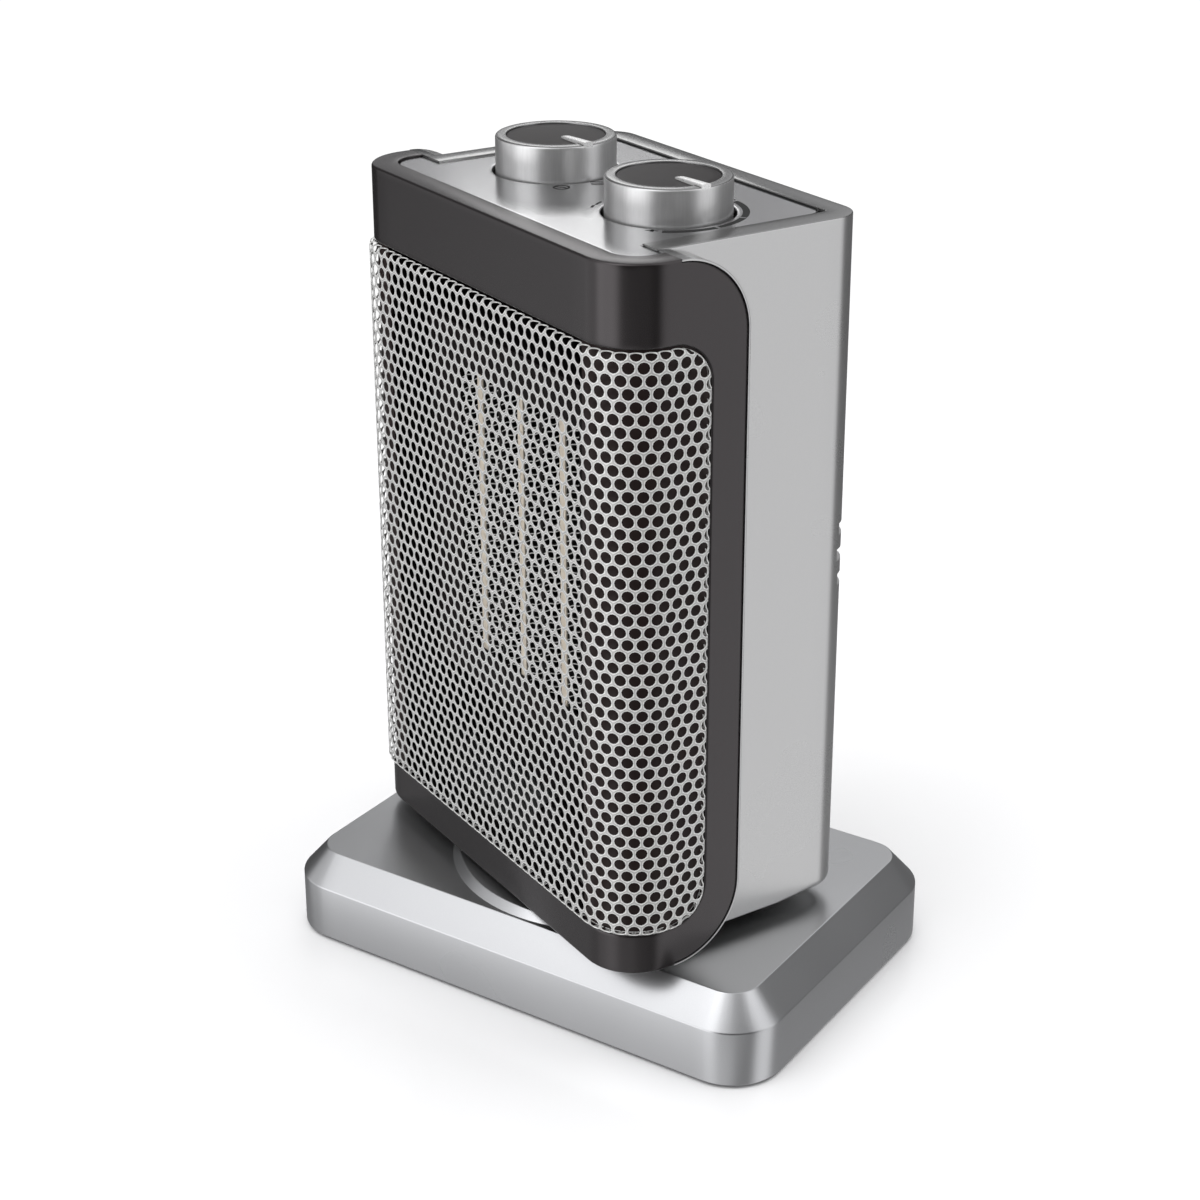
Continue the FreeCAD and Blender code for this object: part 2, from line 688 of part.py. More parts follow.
def make_collar():
    flange_top = tower_floor_top + dim.collar_flange_thickness
    flange = cylinder("collar_flange", dim.collar_flange_radius, tower_floor_top, flange_top)
    tube = cylinder("collar_tube", dim.collar_radius, collar_end, tower_floor_top + 1)
    way = cylinder("wire_way", dim.collar_bore, collar_end - 1, flange_top + 1)
    hole = dim.screw_radius + dim.screw_gap
    holes = [
        cylinder(f"collar_hole_{i}", hole, tower_floor_top - 1, flange_top + 1, spot)
        for i, spot in enumerate(collar_screw_spots)
    ]
    pilots = [
        cylinder(f"collar_pilot_{i}", hole, collar_end - 1, collar_end + dim.collar_bite, spot)
        for i, spot in enumerate(arm_screw_spots)
    ]
    solid = cut("pivot_collar", fuse("collar_solid", flange, tube), way, *holes, *pilots)
    piece("pivot_collar", solid, on_tower=True)


def make_collar_screws():
    """Pan-head screws through the flange into the tower's floor."""
    flange_top = tower_floor_top + dim.collar_flange_thickness
    screws = []
    for i, spot in enumerate(collar_screw_spots):
        head = cylinder(f"collar_head_{i}", dim.screw_head_radius, flange_top,
                        flange_top + dim.screw_head_height, spot)
        tip = dim.tower_foot + dim.fit_gap
        shank = cylinder(f"collar_shank_{i}", dim.screw_radius, tip, flange_top + 0.5, spot)
        screws.append(fuse(f"collar_screw_{i}", head, shank))
    piece("collar_screws", group("collar_screws", screws), on_tower=True)


def make_retaining_washer():
    top = boss_ceiling - dim.running_gap
    washer = ring("retaining_washer", dim.washer_radius, dim.collar_radius + dim.screw_gap,
                  top - dim.washer_thickness, top)
    piece("retaining_washer", washer, on_tower=True)


def make_swing_arm():
    """Slotted lever screwed under the collar; the crank pin slides in its slot."""
    near = dim.crank_offset - dim.pin_radius
    far = dim.crank_offset + crank_radius + dim.pin_radius + dim.slot_run
    hub = cylinder("arm_hub", dim.arm_hub_radius, arm_low, collar_end)
    bar_plan = rectangle(both(dim.arm_half_width), (0, far + dim.arm_end), dim.arm_half_width / 2)
    bar = prism("arm_bar", "XY_Plane", bar_plan, arm_low, collar_end)
    slot = prism(
        "arm_slot", "XY_Plane", rectangle(both(slot_half), (near, far), slot_half * 0.6),
        arm_low - 1, collar_end + 1,
    )
    way = cylinder("arm_way", dim.collar_bore, arm_low - 1, collar_end + 1)
    holes = [
        cylinder(f"arm_hole_{i}", dim.screw_radius + dim.screw_gap, arm_low - 1, collar_end + 1, spot)
        for i, spot in enumerate(arm_screw_spots)
    ]
    sink_radius = dim.arm_head_radius + dim.screw_gap
    sinks = [
        cylinder(f"arm_sink_{i}", sink_radius, arm_low - 1, arm_low + dim.arm_sink, spot)
        for i, spot in enumerate(arm_screw_spots)
    ]
    arm = cut("swing_arm", fuse("arm_solid", hub, bar), slot, way, *holes, *sinks)
    piece("swing_arm", arm, on_tower=True)


def make_arm_screws():
    low, tip = arm_low + dim.screw_gap, collar_end + dim.arm_screw_bite
    screws = []
    for i, spot in enumerate(arm_screw_spots):
        head = cylinder(f"arm_head_{i}", dim.arm_head_radius, low, arm_low + dim.arm_sink, spot)
        shank = cylinder(f"arm_shank_{i}", dim.screw_radius, low, tip, spot)
        screws.append(fuse(f"arm_screw_{i}", head, shank))
    piece("arm_screws", group("arm_screws", screws), on_tower=True)


def make_gear_motor():
    """Flat synchronous gear motor on the base plate, its shaft up to the crank disc."""
    x, y = motor_axis
    can = cylinder("motor_can", dim.motor_radius, floor_top, motor_top, (x, y))
    boss = cylinder("motor_boss", dim.motor_shaft_radius * 2, motor_top - 1, crank_low - dim.fit_gap, (x, y))
    shaft = cylinder("motor_shaft", dim.motor_shaft_radius, motor_top - 1, crank_top, (x, y))
    reach = dim.motor_ear_reach + dim.ear_half
    sides = (dim.crank_offset - dim.ear_half, dim.crank_offset + dim.ear_half)
    ear_top = floor_top + dim.ear_thickness
    ear_plan = rectangle(both(reach), sides, dim.ear_half * 0.75)
    ears = prism("motor_ears", "XY_Plane", ear_plan, floor_top, ear_top)
    holes = [
        cylinder(f"motor_hole_{i}", dim.screw_radius + dim.screw_gap, floor_top - 1, floor_top + 2, spot)
        for i, spot in enumerate(motor_ear_spots)
    ]
    piece("gear_motor", cut("gear_motor", fuse("motor_solid", can, boss, shaft, ears), *holes))


def make_motor_screws():
    screws = []
    for i, spot in enumerate(motor_ear_spots):
        seat = floor_top + dim.ear_thickness
        head = cylinder(f"motor_head_{i}", dim.screw_head_radius, seat, seat + dim.screw_head_height, spot)
        shank = cylinder(f"motor_shank_{i}", dim.screw_radius, dim.base_lift + dim.fit_gap, seat + 0.5, spot)
        screws.append(fuse(f"motor_screw_{i}", head, shank))
    piece("motor_screws", group("motor_screws", screws))


def make_crank():
    """Crank disc on the motor shaft's end, with the pin pressed into it."""
    edge = crank_radius + dim.pin_radius + dim.crank_edge
    disc = cylinder("crank_blank", edge, crank_low, crank_top, motor_axis)
    hole = cylinder("crank_pin_hole", dim.pin_radius + dim.press_gap, crank_low - 1, crank_top + 1, pin_spot)
    bore_edge = dim.motor_shaft_radius + dim.running_gap
    bore = cylinder("crank_bore", bore_edge, crank_low - 1, crank_top + 1, motor_axis)
    piece("crank_disc", cut("crank_disc", disc, hole, bore))
    pin = cylinder("crank_pin", dim.pin_radius, crank_low, collar_end - dim.pin_drop, pin_spot)
    piece("crank_pin", pin)


def make_tip_switch():
    """Switch block on the base plate; its plunger comes down through the plate."""
    x, y = switch_spot
    bore_top = dim.plunger_clear + dim.plunger_length + dim.fit_gap
    block = box(
        "switch_block", (x - dim.switch_half_long, x + dim.switch_half_long),
        (y - dim.switch_half_deep, y + dim.switch_half_deep), (floor_top, bore_top + dim.switch_roof),
    )
    bore = cylinder("switch_bore", dim.plunger_radius + dim.running_gap, floor_top - 1, bore_top, switch_spot)
    piece("tip_switch", cut("tip_switch", block, bore))
    low = dim.plunger_clear
    plunger = cylinder("plunger", dim.plunger_radius, low, low + dim.plunger_length, switch_spot)
    piece("tip_plunger", plunger)


# ---------------------------------------------------------------------------------------------
# Tower shells
# ---------------------------------------------------------------------------------------------

arc_low = dim.tower_foot + dim.seam_arc
arc_high = dim.tower_top - dim.seam_arc


def side_view(name, reach, inset, half):
    """The seam's outline seen from the side, moved in by inset, as wide as 2 * half.

    Straight top and bottom, and a rear edge whose corners are arcs about the seam's centres.
    """
    rear = dim.seam_arc - dim.seam_line - inset
    corners = [
        (-reach, dim.tower_foot + inset),
        (rear, dim.tower_foot + inset, dim.seam_arc - inset),
        (rear, dim.tower_top - inset, dim.seam_arc - inset),
        (-reach, dim.tower_top - inset),
    ]
    return prism(name, "YZ_Plane", corners, -half, half)


def tower_plan(half, front, back, corner):
    """Plan of the front frame: rounded front corners, square at the back."""
    return [(-half, -front, corner), (half, -front, corner), (half, back), (-half, back)]


def plate_plan(gap):
    """Control plate in plan: wide inside the frame, narrower inside the rear housing."""
    wide = dim.frame_half - dim.side_rim - gap
    narrow = dim.housing_half - dim.rear_rim - gap
    front = -(dim.front_face - dim.front_rim - gap)
    seam = -(dim.seam_line + gap)
    back = dim.back_face - dim.back_rim - gap
    corner = dim.frame_corner - dim.side_rim - gap
    rear_corner = dim.plate_rear_corner - gap
    return [
        (-wide, front, corner), (wide, front, corner), (wide, seam), (narrow, seam),
        (narrow, back, rear_corner), (-narrow, back, rear_corner), (-narrow, seam), (-wide, seam),
    ]


ledge_top = dim.tower_top - dim.plate_recess - dim.plate_thickness
roof_low = dim.tower_top - dim.roof_thickness


def plate_opening(name):
    """What the plate and its ledge take out of the roof: the plate above, a smaller hole below."""
    seat = prism(name + "_seat", "XY_Plane", plate_plan(0), ledge_top - 0.05, dim.tower_top + 1)
    way = prism(name + "_way", "XY_Plane", plate_plan(dim.plate_ledge), roof_low - 1, dim.tower_top)
    return fuse(name, seat, way)


frame_cheek_inset = dim.seam_lip + dim.seam_gap
well_x = dim.housing_half - dim.well_inset
well_spots = [(side * well_x, z) for side in (-1, 1) for z in (dim.well_low, dim.well_high)]


def make_front_frame():
    """Dark bezel: front bands, cheeks with arced rear corners, and the rim round the plate."""
    half, front, wall = dim.frame_half, dim.front_face, dim.frame_wall
    rim_end = dim.seam_line + dim.seam_gap
    block = prism(
        "frame_block", "XY_Plane", tower_plan(half, front, -rim_end, dim.frame_corner),
        dim.tower_foot, dim.tower_top,
    )
    cheek_plan = prism(
        "cheek_plan", "XY_Plane", tower_plan(half, front, 0, dim.frame_corner), dim.tower_foot, dim.tower_top
    )
    cheek_side = side_view("cheek_side", front + 1, frame_cheek_inset, half + 1)
    cheeks = common("frame_cheeks", cheek_plan, cheek_side)
    hollow = prism(
        "frame_hollow", "XY_Plane", tower_plan(half - wall, front - wall, 1, dim.frame_corner - wall),
        dim.tower_foot + wall, roof_low,
    )
    behind = box("frame_behind", both(half - wall), (-rim_end, 1), (dim.tower_foot - 1, dim.tower_top + 1))
    window = prism(
        "frame_window", "YZ_Plane",
        [
            (-front - 1, dim.grille_low), (-dim.grille_back, dim.grille_low, dim.grille_corner),
            (-dim.grille_back, dim.grille_high, dim.grille_corner), (-front - 1, dim.grille_high),
        ],
        -half - 1, half + 1,
    )
    posts = [
        cylinder(f"frame_post_{i}", dim.frame_post_radius, -front + wall / 2, -dim.frame_post_end, spot, "Y")
        for i, spot in enumerate(well_spots)
    ]
    pilots = [
        cylinder(f"frame_pilot_{i}", dim.screw_radius + dim.screw_gap, -front + wall * 2,
                 -dim.frame_post_end + 1, spot, "Y")
        for i, spot in enumerate(well_spots)
    ]
    solid = fuse("frame_solid", block, cheeks)
    shell = cut("frame_shell", solid, hollow, behind, window, plate_opening("frame_seat"))
    solid = cut("front_frame", fuse("frame_with_posts", shell, *posts), *pilots)
    piece("front_frame", solid, on_tower=True)


def make_grille():
    """Formed sheet over front and sides with a turned-in edge. Its fine holes aren't cut."""
    gap, sheet, bulge = dim.grille_gap, dim.grille_sheet, dim.grille_bulge
    half, front = dim.frame_half + bulge, dim.front_face + bulge

    def layer(name, inset, edge):
        plan = prism(
            name + "_plan", "XY_Plane",
            tower_plan(half - inset, front - inset, 1 - dim.grille_back, dim.frame_corner + bulge - inset),
            dim.grille_low - 1, dim.grille_high + 1,
        )
        rear, corner = -dim.grille_back - edge, dim.grille_corner - edge
        low, high = dim.grille_low + edge, dim.grille_high - edge
        outline = [(-front - 1, low), (rear, low, corner), (rear, high, corner), (-front - 1, high)]
        return common(name, plan, prism(name + "_side", "YZ_Plane", outline, -half - 1, half + 1))

    outer = layer("grille_outer", 0, gap)
    inner = layer("grille_inner", sheet, gap + sheet)
    deep = layer("grille_deep", dim.grille_return, gap - 0.2)
    piece("grille", cut("grille", outer, inner, deep), on_tower=True)


def side_strip(name, half):
    """The middle of the tower ahead of the seam, as wide as 2 * half."""
    return box(name, both(half), (-dim.seam_line - 2, 0), (dim.tower_foot - 1, dim.tower_top + 1))


def seam_band(name, depth, near, far):
    """A band of this depth that follows the seam's outline, between two distances from the middle."""
    outer = side_view(name + "_outer", dim.seam_line + 1, 0, far)
    inner = side_view(name + "_inner", dim.seam_line + 2, depth, far + 1)
    front = box(
        name + "_front", both(far + 1), (-dim.seam_line - 2, -dim.seam_line),
        (dim.tower_foot - 1, dim.tower_top + 1),
    )
    return cut(name, outer, inner, side_strip(name + "_middle", near), front)


def make_rear_housing():
    """Silver rear shell: box with slotted back, and the arced flange that plugs into the frame."""
    half, wall, back = dim.housing_half, dim.housing_wall, dim.back_face
    foot, top = dim.tower_foot, dim.tower_top
    corner = dim.housing_corner
    plan = [(-half, -dim.seam_line), (half, -dim.seam_line), (half, back, corner), (-half, back, corner)]
    block = prism("housing_block", "XY_Plane", plan, foot, top)
    inner_half, inner_back, inner_corner = half - wall, back - wall, corner - wall
    inner_plan = [
        (-inner_half, -dim.seam_line - 1), (inner_half, -dim.seam_line - 1),
        (inner_half, inner_back, inner_corner), (-inner_half, inner_back, inner_corner),
    ]
    hollow = prism("housing_hollow", "XY_Plane", inner_plan, foot + wall, roof_low)
    sides = cut(
        "housing_frame_zone", side_view("housing_zone", dim.seam_line + 1, dim.tongue_depth, half + 1),
        side_strip("housing_zone_keep", inner_half - 0.5),
    )
    shell = cut("housing_shell", block, hollow, sides)
    tongue_half = dim.frame_half - dim.frame_wall - dim.fit_gap
    flange = seam_band("flange", dim.tongue_depth, inner_half, tongue_half)
    lip = seam_band("lip", dim.seam_lip, tongue_half - 0.5, dim.frame_half)
    wells = [
        cylinder(f"well_{i}", dim.well_radius, -dim.frame_post_end + dim.fit_gap, back - wall / 2, spot, "Y")
        for i, spot in enumerate(well_spots)
    ]
    well_bores = [
        cylinder(f"well_bore_{i}", dim.well_bore, dim.well_floor, back + 1, spot, "Y")
        for i, spot in enumerate(well_spots)
    ]
    well_holes = [
        cylinder(f"well_hole_{i}", dim.screw_radius + dim.screw_gap, -dim.frame_post_end - 1, back, spot, "Y")
        for i, spot in enumerate(well_spots)
    ]
    collar_hole = cylinder("collar_way", dim.collar_radius + dim.fit_gap, foot - 1, tower_floor_top + 1)
    floor_holes = [
        cylinder(f"floor_hole_{i}", dim.screw_radius + dim.screw_gap, foot - 1, tower_floor_top + 1, spot)
        for i, spot in enumerate(collar_screw_spots)
    ]
    joined = fuse("housing_joined", shell, flange, lip, *wells)
    solid = cut(
        "rear_housing", joined, make_intake_slots(), plate_opening("housing_seat"),
        collar_hole, *well_bores, *well_holes, *floor_holes,
    )
    piece("rear_housing", solid, on_tower=True)


def make_intake_slots():
    """Level slots over a round field, crossed by upright bars, wrapping onto the corners."""
    wall = dim.housing_wall
    reach = (dim.back_face - wall - dim.housing_corner, dim.back_face + 1)
    first = -(INTAKE_SLOTS - 1) / 2
    slots = []
    for i in range(INTAKE_SLOTS):
        middle = dim.fan_height + (first + i) * dim.slot_pitch
        limits = (middle - dim.slot_height / 2, middle + dim.slot_height / 2)
        slots.append(box(f"slot_{i}", both(dim.intake_radius + 1), reach, limits))
    field = cylinder("slot_field", dim.intake_radius, *reach, (0, dim.fan_height), "Y")
    bars = []
    for i in range(INTAKE_BARS):
        middle = (i - (INTAKE_BARS - 1) / 2) * dim.slot_bar_spacing
        sides = (middle - dim.slot_bar / 2, middle + dim.slot_bar / 2)
        height = (dim.tower_foot, dim.tower_top)
        bars.append(box(f"slot_bar_{i}", sides, (reach[0] - 1, reach[1] + 1), height))
    return cut("intake_slots", common("slots_in_field", fuse("slots", *slots), field), *bars)


def make_intake_screen():
    inner = dim.back_face - dim.housing_wall
    radius = dim.housing_half - dim.housing_corner
    front = inner - dim.screen_thickness
    screen = cylinder("screen", radius, front, inner, (0, dim.fan_height), "Y")
    piece("intake_screen", screen, on_tower=True)


def make_frame_screws():
    """Long screws at the bottom of the wells, forward into the frame's posts."""
    screws = []
    for i, spot in enumerate(well_spots):
        seat = dim.well_floor
        tip = -dim.frame_post_end - dim.frame_screw_bite
        top = seat + dim.frame_screw_head
        head = cylinder(f"frame_screw_head_{i}", dim.screw_head_radius, seat, top, spot, "Y")
        shank = cylinder(f"frame_screw_shank_{i}", dim.screw_radius, tip, seat + 1, spot, "Y")
        screws.append(fuse(f"frame_screw_{i}", head, shank))
    piece("frame_screws", group("frame_screws", screws), on_tower=True)


# ---------------------------------------------------------------------------------------------
# Heater core and fan
# ---------------------------------------------------------------------------------------------

core_low = dim.fan_height - dim.core_height / 2
core_high = dim.fan_height + dim.core_height / 2
core_back = dim.core_depth - dim.core_front
core_half = STRIPS * dim.strip_pitch / 2


def make_core_frame():
    """Heat-proof frame round strips and fins, standing on the baffle."""
    side = core_half + dim.core_frame_side
    front = -(dim.core_front + dim.core_frame_lip)
    low, high = core_low - dim.core_frame_end, core_high + dim.core_frame_end
    block = box("core_block", both(side), (front, -dim.baffle_face), (low, high))
    seat = box(
        "core_seat", both(core_half + dim.core_play), (front + dim.core_frame_lip, core_back + dim.core_play),
        (core_low - dim.core_play, core_high + dim.core_play),
    )
    window = box(
        "core_window", both(core_half - dim.core_window_side), (front - 1, 1 - dim.baffle_face),
        (core_low + dim.core_window_end, core_high - dim.core_window_end),
    )
    piece("core_frame", cut("core_frame", block, seat, window), on_tower=True)


def make_strips_and_fins():
    """Ceramic strips, each between two fin packs."""
    depth = (-dim.core_front + dim.core_play, core_back)
    height = (core_low, core_high)
    for i in range(STRIPS):
        middle = (i - (STRIPS - 1) / 2) * dim.strip_pitch
        edge = dim.strip_width / 2
        strip = box(f"strip_{i}", (middle - edge, middle + edge), depth, height)
        piece(f"ceramic_strip_{i + 1}", strip, on_tower=True)
        near, far = edge + dim.core_play, dim.strip_pitch / 2 - dim.core_play / 2
        left = box(f"fins_{i}_left", (middle - far, middle - near), depth, height)
        right = box(f"fins_{i}_right", (middle + near, middle + far), depth, height)
        piece(f"fin_pack_{2 * i + 1}", left, on_tower=True)
        piece(f"fin_pack_{2 * i + 2}", right, on_tower=True)


def make_fan_shroud():
    """Baffle with side walls behind the grille, and behind it the fan duct and motor spider."""
    front, back = -dim.baffle_face, dim.baffle_thickness - dim.baffle_face
    centre = (0, dim.fan_height)
    half = dim.frame_half - dim.frame_wall - 2 * dim.fit_gap
    post_reach = dim.frame_post_radius + dim.fit_gap
    height = (dim.well_low + post_reach, dim.well_high - post_reach)
    plate = box("baffle", both(half), (front, back), height)
    duct = cylinder("duct", dim.ring_outer, front, dim.duct_back, centre, "Y")
    duct_way = cylinder("duct_way", dim.ring_inner, back, dim.duct_back + 1, centre, "Y")
    throat = cylinder("throat", dim.ring_inner - dim.throat_lip, front - 1, back + 1, centre, "Y")
    spider = (dim.duct_back, dim.duct_back + dim.spider_thickness)
    arms = []
    for i in range(SPIDER_ARMS):
        arm = box(f"spider_arm_{i}", both(dim.spider_width / 2), spider, (0, dim.ring_outer - 0.5))
        arm.Placement = Placement(Vector(), Rotation(Vector(0, 1, 0), 360.0 * i / SPIDER_ARMS))
        turn = math.radians(360.0 * i / SPIDER_ARMS)
        shift = -dim.spider_width / 2
        bind(arm, "Placement.Base.x", shift * math.cos(turn))
        bind(arm, "Placement.Base.y", spider[0])
        bind(arm, "Placement.Base.z", dim.fan_height - shift * math.sin(turn))
        arms.append(arm)
    hub = cylinder("spider_hub", dim.spider_hub, *spider, centre, "Y")
    edge = ring("duct_edge", dim.ring_outer, dim.ring_inner, dim.duct_back - 1, spider[1], centre, "Y")
    shaft_way = cylinder("spider_bore", dim.spider_bore, spider[0] - 1, spider[1] + 1, centre, "Y")
    far = dim.frame_half + dim.grille_bulge - dim.grille_return - dim.baffle_wall_gap
    near, deep = far - dim.baffle_wall, (-dim.baffle_wall_front, (front + back) / 2)
    tall = (dim.grille_low + dim.baffle_wall_end, dim.grille_high - dim.baffle_wall_end)
    walls = [box("baffle_wall_left", (-far, -near), deep, tall),
             box("baffle_wall_right", (near, far), deep, tall)]
    cup = cut("duct_cup", fuse("duct_solid", plate, duct, *walls), duct_way, throat)
    solid = cut("fan_shroud", fuse("shroud_joined", cup, edge, hub, *arms), shaft_way)
    piece("fan_shroud", solid, on_tower=True)


def make_fan_motor():
    face = dim.duct_back + dim.spider_thickness
    centre = (0, dim.fan_height)
    can = cylinder("fan_motor_can", dim.fan_motor_radius, face, face + dim.fan_motor_depth, centre, "Y")
    radius, end = dim.fan_shaft_radius + dim.running_gap, face + dim.fan_motor_depth - dim.fan_motor_end
    bore = cylinder("fan_motor_bore", radius, face - 1, end, centre, "Y")
    piece("fan_motor", cut("fan_motor", can, bore), on_tower=True)


def make_impeller():
    """Moulded hub with pitched blades, patterned round the fan axis."""
    body = doc.addObject("PartDesign::Body", "impeller_body")
    hub = body.newObject("PartDesign::AdditiveCylinder", "impeller_hub_solid")
    bind(hub, "Radius", dim.impeller_hub)
    bind(hub, "Height", dim.impeller_depth)
    hub.Placement = Placement(Vector(), Rotation(Vector(0, 0, 1), Vector(0, 1, 0)))
    bind(hub, "Placement.Base.y", -dim.impeller_front)
    blade = body.newObject("PartDesign::AdditiveBox", "blade")
    root_radius = dim.impeller_hub - dim.blade_root
    bind(blade, "Length", dim.impeller_radius - root_radius)
    bind(blade, "Width", dim.blade_chord)
    bind(blade, "Height", dim.blade_thickness)
    blade.Placement = Placement(Vector(), Rotation(Vector(1, 0, 0), 90 - dim.blade_pitch.number))
    middle = dim.impeller_depth / 2 - dim.impeller_front
    bind(blade, "Placement.Base.x", root_radius)
    bind(blade, "Placement.Base.y", middle - dim.blade_chord / 2 * sine(dim.blade_pitch))
    bind(blade, "Placement.Base.z", -dim.blade_chord / 2 * cosine(dim.blade_pitch))
    doc.recompute()
    pattern = body.newObject("PartDesign::PolarPattern", "blades")
    pattern.Originals = [blade]
    pattern.Axis = (origin_plane(body, "Y_Axis"), [""])
    pattern.Angle = 360
    pattern.Occurrences = BLADES
    body.Tip = pattern
    bore = cylinder("impeller_bore", dim.fan_shaft_radius + dim.press_gap, -dim.impeller_front - 1,
                    dim.impeller_depth + 1, (0, 0), "Y")
    bind(body, "Placement.Base.z", dim.fan_height)
    bind(bore, "Placement.Base.z", dim.fan_height)
    piece("fan_impeller", cut("fan_impeller", body, bore), on_tower=True)


def make_fan_shaft():
    centre = (0, dim.fan_height)
    front = -(dim.impeller_front + dim.clip_thickness + dim.shaft_nose)
    back = dim.duct_back + dim.spider_thickness + dim.fan_motor_depth - dim.fan_motor_end - dim.fit_gap
    piece("fan_shaft", cylinder("shaft", dim.fan_shaft_radius, front, back, centre, "Y"), on_tower=True)
    clip = ring("impeller_clip", dim.clip_radius, dim.fan_shaft_radius + dim.press_gap,
                -dim.impeller_front - dim.clip_thickness, -dim.impeller_front - 0.05, centre, "Y")
    piece("impeller_clip", clip, on_tower=True)


def make_thermal_parts():
    """Cut-out on the baffle above the core, and the terminal block on the tower's floor."""
    face = -dim.baffle_face
    cutout = cylinder("cutout", dim.cutout_radius, face - dim.cutout_depth, face, (0, dim.cutout_height), "Y")
    piece("thermal_cutout", cutout, on_tower=True)
    x = -(well_x - dim.well_radius - dim.terminal_side_gap - dim.terminal_length / 2)
    y = dim.back_face - dim.housing_wall - dim.terminal_back_gap - dim.terminal_depth / 2
    block = box(
        "terminal_solid", (x - dim.terminal_length / 2, x + dim.terminal_length / 2),
        (y - dim.terminal_depth / 2, y + dim.terminal_depth / 2),
        (tower_floor_top, tower_floor_top + dim.terminal_height),
    )
    piece("terminal_block", block, on_tower=True)


# ---------------------------------------------------------------------------------------------
# Controls
# ---------------------------------------------------------------------------------------------

plate_top = dim.tower_top - dim.plate_recess
knob_x = dim.housing_half - dim.knob_inset
knob_axes = {"mode": (-knob_x, dim.knob_y), "heat": (knob_x, dim.knob_y)}
bracket_top = dim.bracket_height + dim.bracket_thickness
control_low = dim.bracket_height - dim.control_height
knob_low = plate_top - dim.knob_sink
disc_low = dim.knob_top - dim.disc_sink - dim.disc_thickness


def make_control_plate():
    blank = prism("plate_blank", "XY_Plane", plate_plan(dim.fit_gap), ledge_top, plate_top)
    holes = [
        cylinder(f"knob_hole_{name}", dim.knob_radius + dim.knob_hole_gap, ledge_top - 1, plate_top + 1, axis)
        for name, axis in knob_axes.items()
    ]
    piece("control_plate", cut("control_plate", blank, *holes), on_tower=True)


def make_bracket():
    half = dim.housing_half - dim.housing_wall - dim.fit_gap
    sides = (-dim.bracket_front, dim.bracket_back)
    plate = box("bracket_blank", both(half), sides, (dim.bracket_height, bracket_top))
    edge = dim.neck_radius + dim.screw_gap
    holes = [
        cylinder(f"bracket_hole_{name}", edge, dim.bracket_height - 1, bracket_top + 1, axis)
        for name, axis in knob_axes.items()
    ]
    piece("control_bracket", cut("control_bracket", plate, *holes), on_tower=True)


def make_control(name, label):
    """Rotary control under the bracket: body, neck through the bracket, and shaft bore."""
    x, y = knob_axes[name]
    body = box(
        f"{name}_case", (x - dim.control_half, x + dim.control_half),
        (y - dim.control_depth, y + dim.control_depth), (control_low, dim.bracket_height),
    )
    neck_top = bracket_top + dim.neck_rise
    neck = cylinder(f"{name}_neck", dim.neck_radius, dim.bracket_height - 1, neck_top, (x, y))
    bore = cylinder(
        f"{name}_shaft_bore", dim.shaft_radius + dim.running_gap,
        dim.bracket_height - dim.shaft_sink - dim.fit_gap, neck_top + 1, (x, y),
    )
    piece(label, cut(label, fuse(f"{name}_solid", body, neck), bore), on_tower=True)


def make_knob(name):
    """Knob cap with its dark disc, pointer and shaft, which turn together."""
    axis = knob_axes[name]
    x, y = axis
    radius, top = dim.knob_radius, dim.knob_top
    side = cylinder(f"{name}_knob_side", radius, knob_low, top - dim.knob_edge, axis)
    bevel = cone(f"{name}_knob_bevel", radius, radius - dim.knob_edge, top - dim.knob_edge, top, axis)
    grip_top = disc_low - dim.knob_wall
    under = cylinder(f"{name}_knob_under", radius - dim.knob_wall, knob_low - 1, grip_top, axis)
    stem_top = disc_low - dim.knob_wall / 2
    stem = cylinder(f"{name}_knob_stem", dim.shaft_radius + dim.knob_stem_wall, knob_low, stem_top, axis)
    seat = cylinder(f"{name}_disc_seat", dim.disc_radius + dim.disc_gap, disc_low, top + 1, axis)
    grip = cylinder(f"{name}_grip", dim.shaft_radius + dim.press_gap, knob_low - 1, grip_top + 0.1, axis)
    width = dim.pointer_width / 2
    gap = dim.pointer_gap
    span = (x + dim.pointer_start, x + radius - gap)
    low, high = disc_low + dim.disc_thickness - dim.pointer_sink, top + dim.pointer_rise
    sides = (y - width - gap, y + width + gap)
    groove = box(f"{name}_groove", (x + dim.disc_radius - 1, x + radius + 1), sides, (low, top + 2))
    cap = cut(f"{name}_cap", fuse(f"{name}_cap_solid", side, bevel), under, seat)
    knob = cut(f"{name}_knob", fuse(f"{name}_knob_solid", cap, stem), grip, groove)
    piece(f"{name}_knob", knob, on_tower=True)
    blank = cylinder(f"{name}_disc_blank", dim.disc_radius, disc_low, disc_low + dim.disc_thickness, axis)
    slot = box(f"{name}_disc_slot", (x + dim.pointer_start - gap, x + radius), sides, (low - gap, top + 1))
    piece(f"{name}_disc", cut(f"{name}_disc", blank, slot), on_tower=True)
    piece(f"{name}_pointer", box(f"{name}_pointer", span, (y - width, y + width), (low, high)), on_tower=True)
    shaft = cylinder(f"{name}_shaft", dim.shaft_radius, dim.bracket_height - dim.shaft_sink, grip_top, axis)
    piece(f"{name}_shaft", shaft, on_tower=True)


# ---------------------------------------------------------------------------------------------
# Assembly and export
# ---------------------------------------------------------------------------------------------

